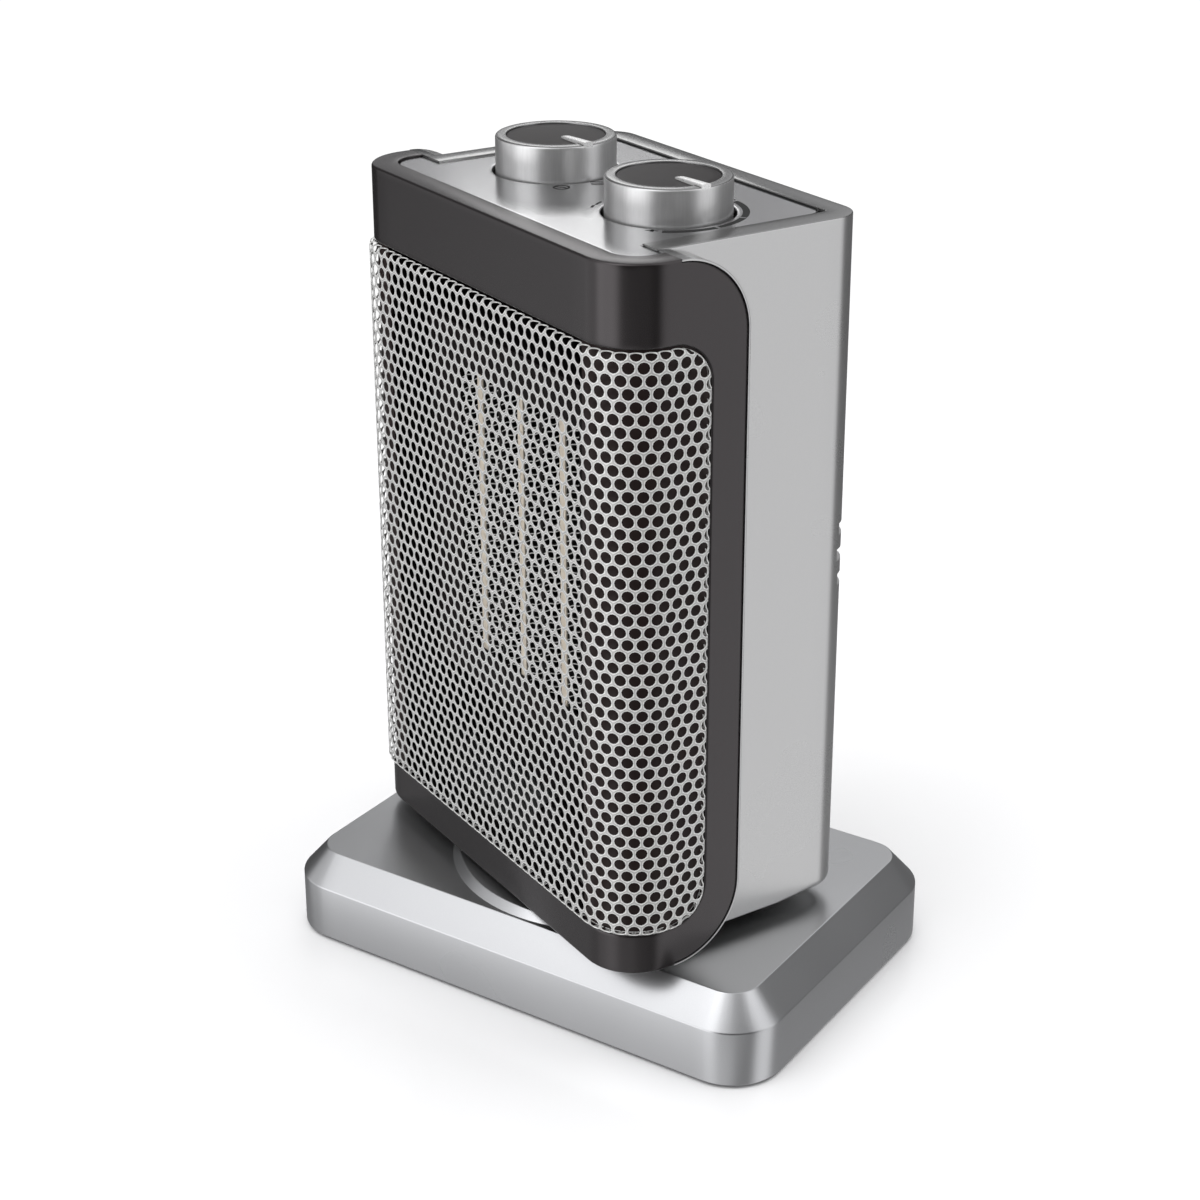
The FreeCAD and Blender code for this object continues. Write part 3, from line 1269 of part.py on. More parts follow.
make_base_housing()
make_base_plate()
make_feet()
make_base_screws()
make_cord_gland()
make_glide_ring()
make_collar()
make_collar_screws()
make_retaining_washer()
make_swing_arm()
make_arm_screws()
make_gear_motor()
make_motor_screws()
make_crank()
make_tip_switch()
make_front_frame()
make_grille()
make_rear_housing()
make_intake_screen()
make_frame_screws()
make_core_frame()
make_strips_and_fins()
make_fan_shroud()
make_fan_motor()
make_impeller()
make_fan_shaft()
make_thermal_parts()
make_control_plate()
make_bracket()
make_control("mode", "mode_switch")
make_control("heat", "thermostat")
make_knob("mode")
make_knob("heat")

doc.recompute()

for thing in doc.Objects:
    if "Invalid" in thing.State or "Error" in thing.State:
        raise RuntimeError(f"{thing.Label} failed to compute: {thing.State}")
for name, solid in PIECES.items():
    shape = solid.Shape
    if shape.isNull() or not shape.isValid() or not shape.Solids:
        raise RuntimeError(f"{name} has no valid solid")

os.makedirs("parts", exist_ok=True)
for name, solid in PIECES.items():
    solid.Shape.exportStep(f"parts/{name}.step")
    print(f"{name:20s} {len(solid.Shape.Solids)} solid(s) {solid.Shape.Volume / 1000:9.2f} cm3")
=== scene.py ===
import math

import bmesh
import bpy
import numpy as np
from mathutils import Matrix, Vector


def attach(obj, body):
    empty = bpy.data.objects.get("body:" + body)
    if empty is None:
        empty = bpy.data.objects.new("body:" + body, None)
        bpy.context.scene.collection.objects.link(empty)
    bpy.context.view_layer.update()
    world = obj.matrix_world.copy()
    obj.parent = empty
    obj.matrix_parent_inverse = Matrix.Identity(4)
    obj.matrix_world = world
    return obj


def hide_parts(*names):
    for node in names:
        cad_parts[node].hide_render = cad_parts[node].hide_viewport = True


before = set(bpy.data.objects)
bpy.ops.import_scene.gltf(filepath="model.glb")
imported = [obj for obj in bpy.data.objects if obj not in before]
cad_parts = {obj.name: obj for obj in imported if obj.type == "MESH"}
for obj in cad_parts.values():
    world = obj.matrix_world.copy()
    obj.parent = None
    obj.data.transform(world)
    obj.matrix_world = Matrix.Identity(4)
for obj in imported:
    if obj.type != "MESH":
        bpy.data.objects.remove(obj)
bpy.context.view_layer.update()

# Ceramic tower heater: silver base with a turntable, dark front frame round a perforated silver
# grille, silver rear housing, control plate with two dials. Shapes are worked out in millimetres,
# tower pieces square to the axes with the front towards -Y, and turned with the tower at the end.

# ---------------------------------------------------------------------------------------------
# Measures shared with the CAD model
# ---------------------------------------------------------------------------------------------

BASE_HALF_X, BASE_HALF_Y, BASE_CORNER = 88.5, 59.0, 17.0
TOWER_TURN = math.radians(-23.6)
TOWER_BODIES = {"tower", "fan", "mode_dial", "heat_dial"}
TOWER_FOOT, TOWER_TOP = 32.4, 248.0
FRAME_HALF, FRAME_FRONT, FRAME_CORNER, FRAME_WALL = 74.3, 45.0, 16.5, 2.5
SEAM_Y, SEAM_ARC, SEAM_LIP = -25.0, 22.9, 0.6
HOUSING_HALF, HOUSING_BACK, HOUSING_CORNER = 63.5, 45.5, 9.5
FRAME_RIM, HOUSING_RIM = 8.2, 7.9
GRILLE_LOW, GRILLE_HIGH, GRILLE_BACK, GRILLE_CORNER = 45.5, 224.4, -14.8, 12.0
PLATE_LOW, PLATE_TOP, PLATE_GAP, PLATE_REAR_CORNER = 245.6, 247.4, 0.4, 5.7
FAN_HEIGHT = 144.5
KNOB_AXES = {"mode": (-30.0, 1.0), "heat": (30.0, 1.0)}
KNOB_RADIUS, KNOB_TOP = 18.3, 258.3

# Plan lines, as u_line takes them: half width, reach towards the front or back, corner radius.
# The grille's sheet stands proud of the frame.
GRILLE_BULGE = 1.59
FRAME_LINE = (FRAME_HALF, FRAME_FRONT, FRAME_CORNER)
HOUSING_LINE = (HOUSING_HALF, HOUSING_BACK, HOUSING_CORNER)
GRILLE_LINE = tuple(measure + GRILLE_BULGE for measure in FRAME_LINE)

# ---------------------------------------------------------------------------------------------
# Lines and profiles
# ---------------------------------------------------------------------------------------------


def u_line(s, depth, half, reach, corner):
    """A U-shaped line in plan: a flat run at -reach, a quarter circle at each end of it, then
    straight sides. s is the distance along the line from its middle, measured at depth 0, and
    depth moves the point inwards, square to the line."""
    s, depth = np.broadcast_arrays(np.asarray(s, float), np.asarray(depth, float))
    flat = half - corner
    along = np.abs(s)
    angle = np.clip((along - flat) / corner, 0, math.pi / 2)
    run = np.maximum(along - flat - corner * math.pi / 2, 0)
    radius = corner - depth
    x = np.sign(s) * (np.minimum(along, flat) + radius * np.sin(angle))
    y = corner - reach - radius * np.cos(angle) + run
    return x, y


def rounded_loop(half_x, half_y, corner, arc=12, long_side=40, short_side=26):
    """A closed rounded rectangle: a quarter circle at each corner and straight sides between,
    always with the same number of points, so that loops of different sizes match up."""
    turn = np.linspace(0, math.pi / 2, arc + 1)
    pieces = []
    for k, (sx, sy) in enumerate([(1, 1), (-1, 1), (-1, -1), (1, -1)]):
        centre = np.array([sx * (half_x - corner), sy * (half_y - corner)])
        angle = turn + k * math.pi / 2
        pieces.append(centre + corner * np.stack([np.cos(angle), np.sin(angle)], -1))
    loop = []
    for k, run in enumerate((long_side, short_side, long_side, short_side)):
        start, end = pieces[k][-1], pieces[(k + 1) % 4][0]
        t = np.linspace(0, 1, run + 1)[1:-1, None]
        loop += [pieces[k], start + (end - start) * t]
    return np.concatenate(loop)


def rounded_profile(corners, steps=5):
    """An open line through the corners (a, b, radius), where each corner with a radius becomes
    an arc that touches both of its sides."""
    points = []
    for k, (a, b, radius) in enumerate(corners):
        here = np.array([a, b], float)
        if radius == 0 or k in (0, len(corners) - 1):
            points.append(here[None])
            continue
        back = np.array(corners[k - 1][:2], float) - here
        ahead = np.array(corners[k + 1][:2], float) - here
        back, ahead = back / np.linalg.norm(back), ahead / np.linalg.norm(ahead)
        half_angle = math.acos(np.clip(back @ ahead, -1, 1)) / 2
        reach = radius / math.tan(half_angle)
        middle = (back + ahead) / np.linalg.norm(back + ahead)
        centre = here + middle * radius / math.sin(half_angle)
        first, last = here + back * reach - centre, here + ahead * reach - centre
        sweep = math.pi - 2 * half_angle
        t = np.linspace(0, 1, steps + 1)[:, None]
        points.append(
            centre + (np.sin((1 - t) * sweep) * first + np.sin(t * sweep) * last) / math.sin(sweep)
        )
    return np.concatenate(points)


def turned(profile, axis, count=96):
    """A profile of (radius, height) turned about an upright axis."""
    angle = np.arange(count) * 2 * math.pi / count
    x = axis[0] + np.cos(angle)[:, None] * profile[None, :, 0]
    y = axis[1] + np.sin(angle)[:, None] * profile[None, :, 0]
    z = np.broadcast_to(profile[None, :, 1], x.shape)
    return np.stack([x, y, z], -1)


def at_height(line, z):
    """A line in plan, lifted to the height z."""
    return np.c_[line, np.full(len(line), z)]


def flat_bar(near, far, low, high):
    """Sections of an upright or level bar that fills the room between two lines in plan and
    two heights."""
    corners = ((near, low), (far, low), (far, high), (near, high))
    return np.stack([at_height(line, z) for line, z in corners], 1)


# ---------------------------------------------------------------------------------------------
# From points to pieces
# ---------------------------------------------------------------------------------------------


class Skin:
    """Grids of points that are welded into one mesh where they meet."""

    def __init__(self):
        self.points, self.quads, self.marks, self.count = [], [], [], 0

    def grid(self, points, wrap_u=False, wrap_v=False, keep=None, mark=0.0):
        """Points (u, v, xyz) joined by quads; keep, one truth value per quad, leaves holes."""
        nu, nv = points.shape[:2]
        i = np.arange(nu if wrap_u else nu - 1)[:, None]
        j = np.arange(nv if wrap_v else nv - 1)[None, :]
        ahead, above = (i + 1) % nu, (j + 1) % nv
        quads = np.stack([i * nv + j, ahead * nv + j, ahead * nv + above, i * nv + above], -1)
        quads = quads.reshape(-1, 4) if keep is None else quads[keep]
        self.add(points.reshape(-1, 3), quads, mark)

    def add(self, points, quads, mark=0.0):
        self.points.append(points)
        self.quads.append(quads + self.count)
        self.marks.append(np.broadcast_to(np.asarray(mark, float), (len(points),)))
        self.count += len(points)

    def tube(self, points):
        """A bar whose sections (v) are closed lines, its ends drawn together to a point."""
        ends = points[[0, -1]].mean(1, keepdims=True)
        caps = np.broadcast_to(ends, (2, *points.shape[1:]))
        self.grid(np.concatenate([caps[:1], points, caps[1:]]), wrap_v=True)


def to_row(points, body):
    """Millimetres to metres; what belongs to the tower is turned about the swing axis."""
    if body in TOWER_BODIES:
        c, s = math.cos(TOWER_TURN), math.sin(TOWER_TURN)
        points = points @ np.array([[c, s, 0], [-s, c, 0], [0, 0, 1]])
    return points * 0.001


def piece(name, body, paint, skin, replaces=(), wall=0.0, crease=32, open_skin=False):
    """Makes a skin into a smooth piece that rides on a body. wall, in millimetres, thickens an
    open skin inwards."""
    points = to_row(np.concatenate(skin.points), body)
    mesh = bpy.data.meshes.new(name)
    mesh.from_pydata(points.tolist(), [], np.concatenate(skin.quads).tolist())
    marks = mesh.attributes.new("edge_mark", "FLOAT", "POINT")
    marks.data.foreach_set("value", np.concatenate(skin.marks).astype(np.float32))
    work = bmesh.new()
    work.from_mesh(mesh)
    bmesh.ops.remove_doubles(work, verts=work.verts, dist=2e-6)
    bmesh.ops.dissolve_degenerate(work, edges=work.edges, dist=1e-6)
    if not open_skin:
        bmesh.ops.recalc_face_normals(work, faces=work.faces)
    work.to_mesh(mesh)
    work.free()
    thing = bpy.data.objects.new(name, mesh)
    bpy.context.scene.collection.objects.link(thing)
    if wall:
        solidify = thing.modifiers.new("wall", "SOLIDIFY")
        solidify.thickness = wall * 0.001
        solidify.offset = -1
        bpy.context.view_layer.update()
        solid = thing.evaluated_get(bpy.context.evaluated_depsgraph_get())
        mesh = bpy.data.meshes.new_from_object(solid)
        thing.modifiers.clear()
        thing.data = mesh
    mesh.shade_smooth()
    mesh.set_sharp_from_angle(angle=math.radians(crease))
    mesh.materials.append(paint.material)
    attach(thing, body)
    if replaces:
        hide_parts(*replaces)


# ---------------------------------------------------------------------------------------------
# Finishes
# ---------------------------------------------------------------------------------------------


class Value:
    """A number or vector that varies over a surface. Sums and products of it become Math nodes."""

    def __init__(self, nodes, socket):
        self.nodes, self.socket = nodes, socket

    def join(self, operation, first, second):
        return self.nodes.node("ShaderNodeMath", {"operation": operation}, {0: first, 1: second})

    def __add__(self, other):
        return self.join("ADD", self, other)

    def __radd__(self, other):
        return self.join("ADD", other, self)

    def __sub__(self, other):
        return self.join("SUBTRACT", self, other)

    def __rsub__(self, other):
        return self.join("SUBTRACT", other, self)

    def __mul__(self, other):
        return self.join("MULTIPLY", self, other)

    def __rmul__(self, other):
        return self.join("MULTIPLY", other, self)


class Nodes:
    """A node tree, and the one way in which nodes are added to it."""

    def __init__(self, tree):
        self.tree = tree

    def node(self, kind, settings=None, inputs=None, output=0):
        """Adds a node: its settings first, then the values or links of its sockets."""
        made = self.tree.nodes.new(kind)
        for key, value in (settings or {}).items():
            setattr(made, key, value)
        for key, value in (inputs or {}).items():
            if isinstance(value, Value):
                self.tree.links.new(value.socket, made.inputs[key])
            else:
                made.inputs[key].default_value = value
        return Value(self, made.outputs[output]) if made.outputs else None

    def step(self, value, low, high):
        """0 below low, 1 above high and a smooth rise between."""
        settings = {"interpolation_type": "SMOOTHSTEP"}
        inputs = {"Value": value, "From Min": low, "From Max": high}
        return self.node("ShaderNodeMapRange", settings, inputs)

    def dot(self, vector, direction):
        settings = {"operation": "DOT_PRODUCT"}
        return self.node("ShaderNodeVectorMath", settings, {0: vector, 1: direction}, output=1)


class Paint(Nodes):
    """A finish: one Principled shader and the nodes that vary it."""

    def __init__(self, name, color, roughness, **sockets):
        self.material = bpy.data.materials.new(name)
        self.material.use_nodes = True
        super().__init__(self.material.node_tree)
        self.shader = next(n for n in self.tree.nodes if n.type == "BSDF_PRINCIPLED")
        self.material.diffuse_color = (*color, 1)
        self.shader.inputs["Base Color"].default_value = (*color, 1)
        self.shader.inputs["Roughness"].default_value = roughness
        for socket, value in sockets.items():
            self.shader.inputs[socket.replace("_", " ")].default_value = value
        self.place = self.node("ShaderNodeTexCoord", output="Object")

    def feed(self, socket, value):
        self.tree.links.new(value.socket, self.shader.inputs[socket])
        return self

    def noise(self, scale, detail, stretch=None):
        """Soft noise; scale is in waves per metre, and stretch squeezes it along the axes."""
        place = self.place
        if stretch:
            place = self.node("ShaderNodeMapping", inputs={"Vector": place, "Scale": stretch})
        inputs = {"Vector": place, "Scale": scale, "Detail": detail}
        return self.node("ShaderNodeTexNoise", inputs=inputs)

    def mark(self):
        """The mark that a skin gave to its points, from 0 to 1."""
        return self.node("ShaderNodeAttribute", {"attribute_name": "edge_mark"}, output="Fac")

    def mix(self, factor, low, high):
        """Blends two colours, each given as a plain colour or as a value."""
        colors = {6: (*low, 1) if isinstance(low, tuple) else low}
        colors[7] = (*high, 1) if isinstance(high, tuple) else high
        settings = {"data_type": "RGBA", "clamp_factor": True}
        return self.node("ShaderNodeMix", settings, {0: factor, **colors}, output=2)

    def bump(self, height, strength, distance):
        inputs = {"Height": height, "Strength": strength, "Distance": distance}
        return self.feed("Normal", self.node("ShaderNodeBump", inputs=inputs))


def shade(color, factor):
    return tuple(min(1.0, c * factor) for c in color)


def metallic_paint(name, color, roughness, metallic, top_shade_tone=1.0, top_shade_low=1.0):
    """Silver paint on plastic: fine bright flakes, slight cloudiness and a faint orange peel.
    Above the height of the last argument, in metres, the paint is smoother, and the tone before it
    darkens the colour there: painted shade on the top."""
    paint = Paint(name, color, roughness, Metallic=metallic)
    flakes = paint.step(paint.noise(9000, 0), 0.45, 0.75)
    clouds = paint.noise(22, 2)
    body = paint.mix(clouds, shade(color, 0.96), shade(color, 1.04))
    body = paint.mix(flakes * 0.35, body, shade(color, 1.25))
    grade = roughness - 0.05 + clouds * 0.06 + flakes * 0.05
    if top_shade_tone < 1:
        # Painted shade: above the given height the top is painted darker.
        rim = paint.step(paint.dot(paint.place, (0, 0, 1)), top_shade_low, top_shade_low + 0.0003)
        body = paint.mix(rim, body, shade(color, top_shade_tone))
        grade = grade - rim * 0.1
    paint.feed("Base Color", body)
    paint.feed("Roughness", grade)
    return paint.bump(paint.noise(2600, 1), 0.06, 0.00006)


def moulded(name, color, roughness, grain, **sockets):
    """Moulded plastic: very fine texture from the mould and a slow change of tone."""
    paint = Paint(name, color, roughness, **sockets)
    slow = paint.noise(30, 2)
    paint.feed("Base Color", paint.mix(slow, shade(color, 0.9), shade(color, 1.12)))
    paint.feed("Roughness", roughness - 0.04 + slow * 0.08)
    return paint.bump(paint.noise(3200, 2), grain, 0.00008)


def turned_metal():
    """Knob: satin round its side with faint upright streaks, and finer on its ring, where the
    colour is painted darker as painted shade.
    """
    color = (0.63, 0.63, 0.625)
    paint = Paint("knob_silver", color, 0.32, Metallic=0.82)
    ring = paint.step(paint.mark(), 0.3, 0.9)
    streaks = paint.noise(1500, 3, (1, 1, 0.08))
    body = paint.mix(streaks, shade(color, 0.9), shade(color, 1.1))
    # Painted shade: the marked top ring is painted darker as well as made smoother.
    paint.feed("Base Color", paint.mix(ring, body, shade(color, 0.41)))
    paint.feed("Roughness", 0.3 + streaks * 0.06 - ring * 0.14)
    return paint.bump(streaks, 0.04, 0.00006)


def bare_metal(name, color, roughness):
    """Drawn or rolled metal with streaks along one axis."""
    paint = Paint(name, color, roughness, Metallic=1.0)
    streaks = paint.noise(900, 3, (1, 1, 12))
    paint.feed("Base Color", paint.mix(streaks, shade(color, 0.85), shade(color, 1.08)))
    paint.feed("Roughness", roughness - 0.08 + streaks * 0.16)
    return paint.bump(streaks, 0.05, 0.00005)


def punched_sheet():
    """Pale silver paint on steel; where the punch has rounded the holes' edges a bump rounds them
    and the colour is painted lighter, a painted highlight.
    """
    color = (0.5, 0.5, 0.488)
    paint = Paint("punched_sheet", color, 0.42, Metallic=0.45)
    rim = paint.step(paint.mark(), 0.25, 0.7)
    clouds = paint.noise(40, 2)
    body = paint.mix(clouds, shade(color, 0.94), shade(color, 1.05))
    # Painted highlight: at the hole's edge the paint is half again as bright.
    paint.feed("Base Color", paint.mix(rim, body, shade(color, 1.5)))
    paint.feed("Metallic", 0.5 - rim * 0.25)
    paint.feed("Roughness", 0.36 + clouds * 0.1)
    return paint.bump(1 - rim * rim, 0.5, 0.0003)


def fin_foil():
    """Thin aluminium foil: bright at its front edge and painted near black deeper between the
    folds, as painted shade.
    """
    paint = Paint("fin_foil", (0.6, 0.6, 0.58), 0.4, Metallic=0.1, Specular_IOR_Level=0.2)
    # Painted shade: behind the marked front edge the foil is painted near black, where shade falls
    # between the folds.
    front = paint.step(paint.mark(), 0.9, 0.97)
    patches = paint.step(paint.noise(120, 3), 0.35, 0.7)
    fold_shade = paint.mix(patches, (0.018, 0.015, 0.014), (0.04, 0.036, 0.033))
    paint.feed("Base Color", paint.mix(front, fold_shade, (0.72, 0.71, 0.69)))
    return paint.feed("Roughness", 0.35 + patches * 0.15)


def fired_ceramic():
    """Cream ceramic with a chalky surface at its front edge; behind the front face it is painted
    near black, as painted shade between the fins.
    """
    paint = Paint("fired_ceramic", (0.78, 0.7, 0.58), 0.75)
    grain = paint.noise(700, 3)
    cream = paint.mix(grain, (0.7, 0.61, 0.48), (0.84, 0.77, 0.66))
    ahead, front_face = (math.sin(TOWER_TURN), -math.cos(TOWER_TURN), 0), 0.0307
    # Painted shade: all but the front face of the strip is painted near black.
    front = paint.step(paint.dot(paint.place, ahead), front_face - 0.0005, front_face)
    paint.feed("Base Color", paint.mix(front, (0.05, 0.046, 0.042), cream))
    return paint.bump(grain, 0.2, 0.0001)


base_silver = metallic_paint("base_silver", (0.5, 0.505, 0.51), 0.3, 0.95)
# The flat top of the housing's rim is painted darker: painted shade.
housing_silver = metallic_paint(
    "housing_silver", (0.5, 0.5, 0.495), 0.3, 0.93, top_shade_tone=0.55, top_shade_low=0.2476
)
plate_silver = metallic_paint("plate_silver", (0.5, 0.5, 0.505), 0.2, 0.95)
knob_silver = turned_metal()
frame_dark = moulded(
    "frame_dark", (0.009, 0.0078, 0.0078), 0.24, 0.03,
    Specular_IOR_Level=0.65, Specular_Tint=(1.0, 0.93, 0.94, 1.0),
)
disc_dark = moulded(
    "disc_dark", (0.016, 0.0145, 0.0145), 0.3, 0.03, Specular_IOR_Level=0.035
)
inner_black = moulded(
    "inner_black", (0.012, 0.009, 0.009), 0.6, 0.15, Specular_IOR_Level=0.12
)
lining_brown = moulded(
    "lining_brown", (0.022, 0.013, 0.012), 0.4, 0.1, Specular_IOR_Level=0.2
)
rubber_black = moulded("rubber_black", (0.02, 0.02, 0.02), 0.8, 0.3)
nylon_white = moulded("nylon_white", (0.72, 0.7, 0.64), 0.45, 0.08)
mesh_black = moulded("mesh_black", (0.02, 0.02, 0.02), 0.7, 0.4)
zinc_steel = bare_metal("zinc_steel", (0.55, 0.55, 0.56), 0.35)
bright_trim = metallic_paint("bright_trim", (0.75, 0.75, 0.74), 0.28, 0.6)
# Dark print; the same dark paint also makes the painted shadow in the gap behind the control
# plate.
print_and_shadow_dark = moulded("print_and_shadow_dark", (0.02, 0.02, 0.02), 0.6, 0.02, Specular_IOR_Level=0.1)
grille_sheet = punched_sheet()
foil = fin_foil()
ceramic = fired_ceramic()

# Finishes of the CAD pieces that are shown as they are.
NODE_PAINTS = {
    "base_plate": inner_black, "base_screws": zinc_steel, "glide_ring": nylon_white,
    "gear_motor": zinc_steel, "motor_screws": zinc_steel, "tip_switch": inner_black,
    "tip_plunger": nylon_white, "crank_disc": nylon_white, "crank_pin": zinc_steel,
    "pivot_collar": inner_black, "collar_screws": zinc_steel, "retaining_washer": zinc_steel,
    "swing_arm": zinc_steel, "arm_screws": zinc_steel, "intake_screen": mesh_black,
    "frame_screws": zinc_steel, "core_frame": inner_black, "fan_shroud": inner_black,
    "fan_motor": zinc_steel, "thermal_cutout": inner_black, "terminal_block": nylon_white,
    "control_bracket": zinc_steel, "mode_switch": inner_black, "thermostat": inner_black,
    "fan_impeller": inner_black, "fan_shaft": zinc_steel, "impeller_clip": zinc_steel,
    "mode_shaft": zinc_steel, "heat_shaft": zinc_steel,
    "ceramic_strip_1": ceramic, "ceramic_strip_2": ceramic, "ceramic_strip_3": ceramic,
}

# ---------------------------------------------------------------------------------------------
# Base
# ---------------------------------------------------------------------------------------------


def make_base():
    """Closed skin: the outline of a rounded rectangle carried up a profile of (inset, height),
    then matched point by point, along rays from the middle, to circles for the boss, and back
    down inside the wall."""

    def level(inset):
        return rounded_loop(BASE_HALF_X - inset, BASE_HALF_Y - inset, BASE_CORNER - inset)

    outer = rounded_profile(
        [(2.5, 1.0, 0), (0, 1.0, 0.5), (0, 19, 1.0), (7.8, 28, 0.6), (8.15, 28, 0)]
    )
    inner = rounded_profile([(10.3, 25.5, 0), (10.3, 18, 0), (2.5, 18, 0), (2.5, 1.0, 0)])
    boss = rounded_profile(
        [(50.8, 28, 0), (50.4, 28, 0.3), (48.0, 30.3, 0.8), (14.2, 30.3, 0), (14.2, 27.8, 0),
         (42, 27.8, 0), (42, 25.5, 0)]
    )
    inset_for_rays = 12
    bearing = np.arctan2(*level(inset_for_rays).T[::-1])
    rays = np.stack([np.cos(bearing), np.sin(bearing)], -1)
    sections = [at_height(level(inset), z) for inset, z in outer]
    sections += [at_height(radius * rays, z) for radius, z in boss]
    sections += [at_height(level(inset), z) for inset, z in inner[:-1]]
    skin = Skin()
    skin.grid(np.stack(sections, 1), wrap_u=True, wrap_v=True)
    piece("base_shell", "base", base_silver, skin, ["base_housing"])


def make_feet():
    """Rubber feet: a short profile with rounded lower edge, turned about each foot's axis."""
    across, along, radius, tall = 59.5, 37, 7, 1.8
    profile = rounded_profile(
        [(0, tall, 0), (radius, tall, 0.15), (radius, 0, 0.5), (0, 0, 0)]
    )
    for k, (sx, sy) in enumerate([(-1, -1), (1, -1), (1, 1), (-1, 1)], start=1):
        skin = Skin()
        skin.grid(turned(profile, (sx * across, sy * along), 48), wrap_u=True)
        piece(f"foot_pad_{k}", "base", rubber_black, skin, [f"rubber_foot_{k}"])


def make_gland():
    """Cord inlet bush: a ribbed profile of (radius, distance out of the wall), turned about a
    level axis through the back wall."""
    bore, neck, collar = 3.6, 5.5, 7.2
    outer_end, inner_end, collar_end = 3.5, -4.5, 1.6
    x, z = -45, 10.5
    profile = rounded_profile(
        [(bore, outer_end, 0), (neck, outer_end, 0.8), (neck, collar_end, 0),
         (collar, collar_end, 0.6), (collar, 0, 0), (neck, 0, 0), (neck, inner_end, 0.4),
         (bore, inner_end, 0), (bore, outer_end, 0)], 4
    )
    upright = turned(profile, (0, 0), 48)
    lying = [x + upright[..., 0], BASE_HALF_Y + upright[..., 2], z + upright[..., 1]]
    skin = Skin()
    skin.grid(np.stack(lying, -1), wrap_u=True)
    piece("cord_bush", "base", rubber_black, skin, ["cord_gland"])


# ---------------------------------------------------------------------------------------------
# Front frame and grille
# ---------------------------------------------------------------------------------------------

FRAME_FLAT = FRAME_HALF - FRAME_CORNER
FRAME_BEND_END = FRAME_FLAT + FRAME_CORNER * math.pi / 2
SEAM_S = FRAME_BEND_END + FRAME_FRONT - FRAME_CORNER + SEAM_Y


def frame_outline(offset, outer):
    """Half of a closed outline in (s, height), from the top's middle over the right side to the
    bottom's middle. The inner one is the grille's opening grown by offset, the outer one the
    frame's edge drawn in by offset; both have the same number of points."""
    shared = np.concatenate([
        np.linspace(0, FRAME_FLAT, 9)[:-1], np.linspace(FRAME_FLAT, FRAME_BEND_END, 25)
    ])
    turn = np.linspace(math.pi / 2, 0, 17)
    if outer:
        play = 0.1
        ends, centre, low, high = (SEAM_S - play,), SEAM_S, TOWER_FOOT + offset, TOWER_TOP - offset
        radius = SEAM_ARC - SEAM_LIP - play - offset
        arc_low, arc_high = TOWER_FOOT + SEAM_ARC, TOWER_TOP - SEAM_ARC
    else:
        window_s = FRAME_BEND_END + FRAME_FRONT - FRAME_CORNER + GRILLE_BACK
        centre, low, high = window_s - GRILLE_CORNER, GRILLE_LOW - offset, GRILLE_HIGH + offset
        ends, radius = (centre,), GRILLE_CORNER + offset
        arc_low, arc_high = GRILLE_LOW + GRILLE_CORNER, GRILLE_HIGH - GRILLE_CORNER
    top = np.append(shared, ends)
    side = np.linspace(arc_high, arc_low, 20)[1:-1]
    bend_s, bend_z = centre + radius * np.cos(turn), radius * np.sin(turn)
    s = np.concatenate([top, bend_s, np.full(len(side), centre + radius), bend_s[::-1], top[::-1]])
    z = np.concatenate([
        np.full(len(top), high), arc_high + bend_z, side, arc_low - bend_z[::-1],
        np.full(len(top), low),
    ])
    return np.stack([s, z], -1), len(top)


def make_front_frame():
    """Closed ring round the grille's opening. Its section starts at the opening's edge, rounds
    onto the outside, crosses it, rounds over the outer edge, runs in over the rim to the control
    plate's seat and comes back along the inside. Each section point is an outline in (s, height)
    and a depth, which the U-shaped plan line turns into a place. A flat bar is its floor."""
    stations = []
    edge, brow, lip, seat = 0.7, 0.9, 0.3, 3.5
    half, top_count = frame_outline(0, True)
    is_top = np.arange(len(half)) < top_count
    rim = np.where(is_top, FRAME_RIM, FRAME_WALL)
    flat = np.zeros(len(half))
    quarter = np.linspace(0, math.pi / 2, 6)
    stations.append((frame_outline(0, False)[0], flat + FRAME_WALL))
    for a in quarter:
        outline = frame_outline(edge * (1 - math.cos(a)), False)[0]
        stations.append((outline, flat + edge * (1 - math.sin(a))))
    near, far = frame_outline(edge, False)[0], frame_outline(brow, True)[0]
    for t in (0.05, 0.35, 0.65, 0.95):
        stations.append((near + (far - near) * t, flat))
    for a in quarter:
        outline = frame_outline(brow * (1 - math.sin(a)), True)[0]
        stations.append((outline, flat + brow * (1 - math.cos(a))))
    for a in quarter:
        outline = frame_outline(lip * (1 - math.cos(a)), True)[0]
        stations.append((outline, rim - lip * (1 - math.sin(a))))
    stations.append((frame_outline(seat, True)[0], rim))
    stations.append((frame_outline(seat, True)[0], flat + FRAME_WALL))
    rows = []
    for outline, depth in stations:
        x, y = u_line(outline[:, 0], depth, *FRAME_LINE)
        right = np.stack([x, y, outline[:, 1]], -1)
        left = right[::-1] * (-1, 1, 1)
        rows.append(np.concatenate([right, left]))
    skin = Skin()
    skin.grid(np.stack(rows, 1), wrap_u=True, wrap_v=True)
    s = np.concatenate([
        -np.linspace(FRAME_BEND_END, FRAME_FLAT, 13),
        np.linspace(-FRAME_FLAT, FRAME_FLAT, 5)[1:-1],
        np.linspace(FRAME_FLAT, FRAME_BEND_END, 13),
    ])
    overlap, play = 0.01, 0.1
    x, y = u_line(s, FRAME_WALL - overlap, *FRAME_LINE)
    front, back = np.stack([x, y], -1), np.stack([x, np.full(len(s), SEAM_Y - play)], -1)
    skin.tube(flat_bar(front, back, TOWER_FOOT, TOWER_FOOT + FRAME_WALL))
    piece("front_bezel", "tower", frame_dark, skin, ["front_frame"])


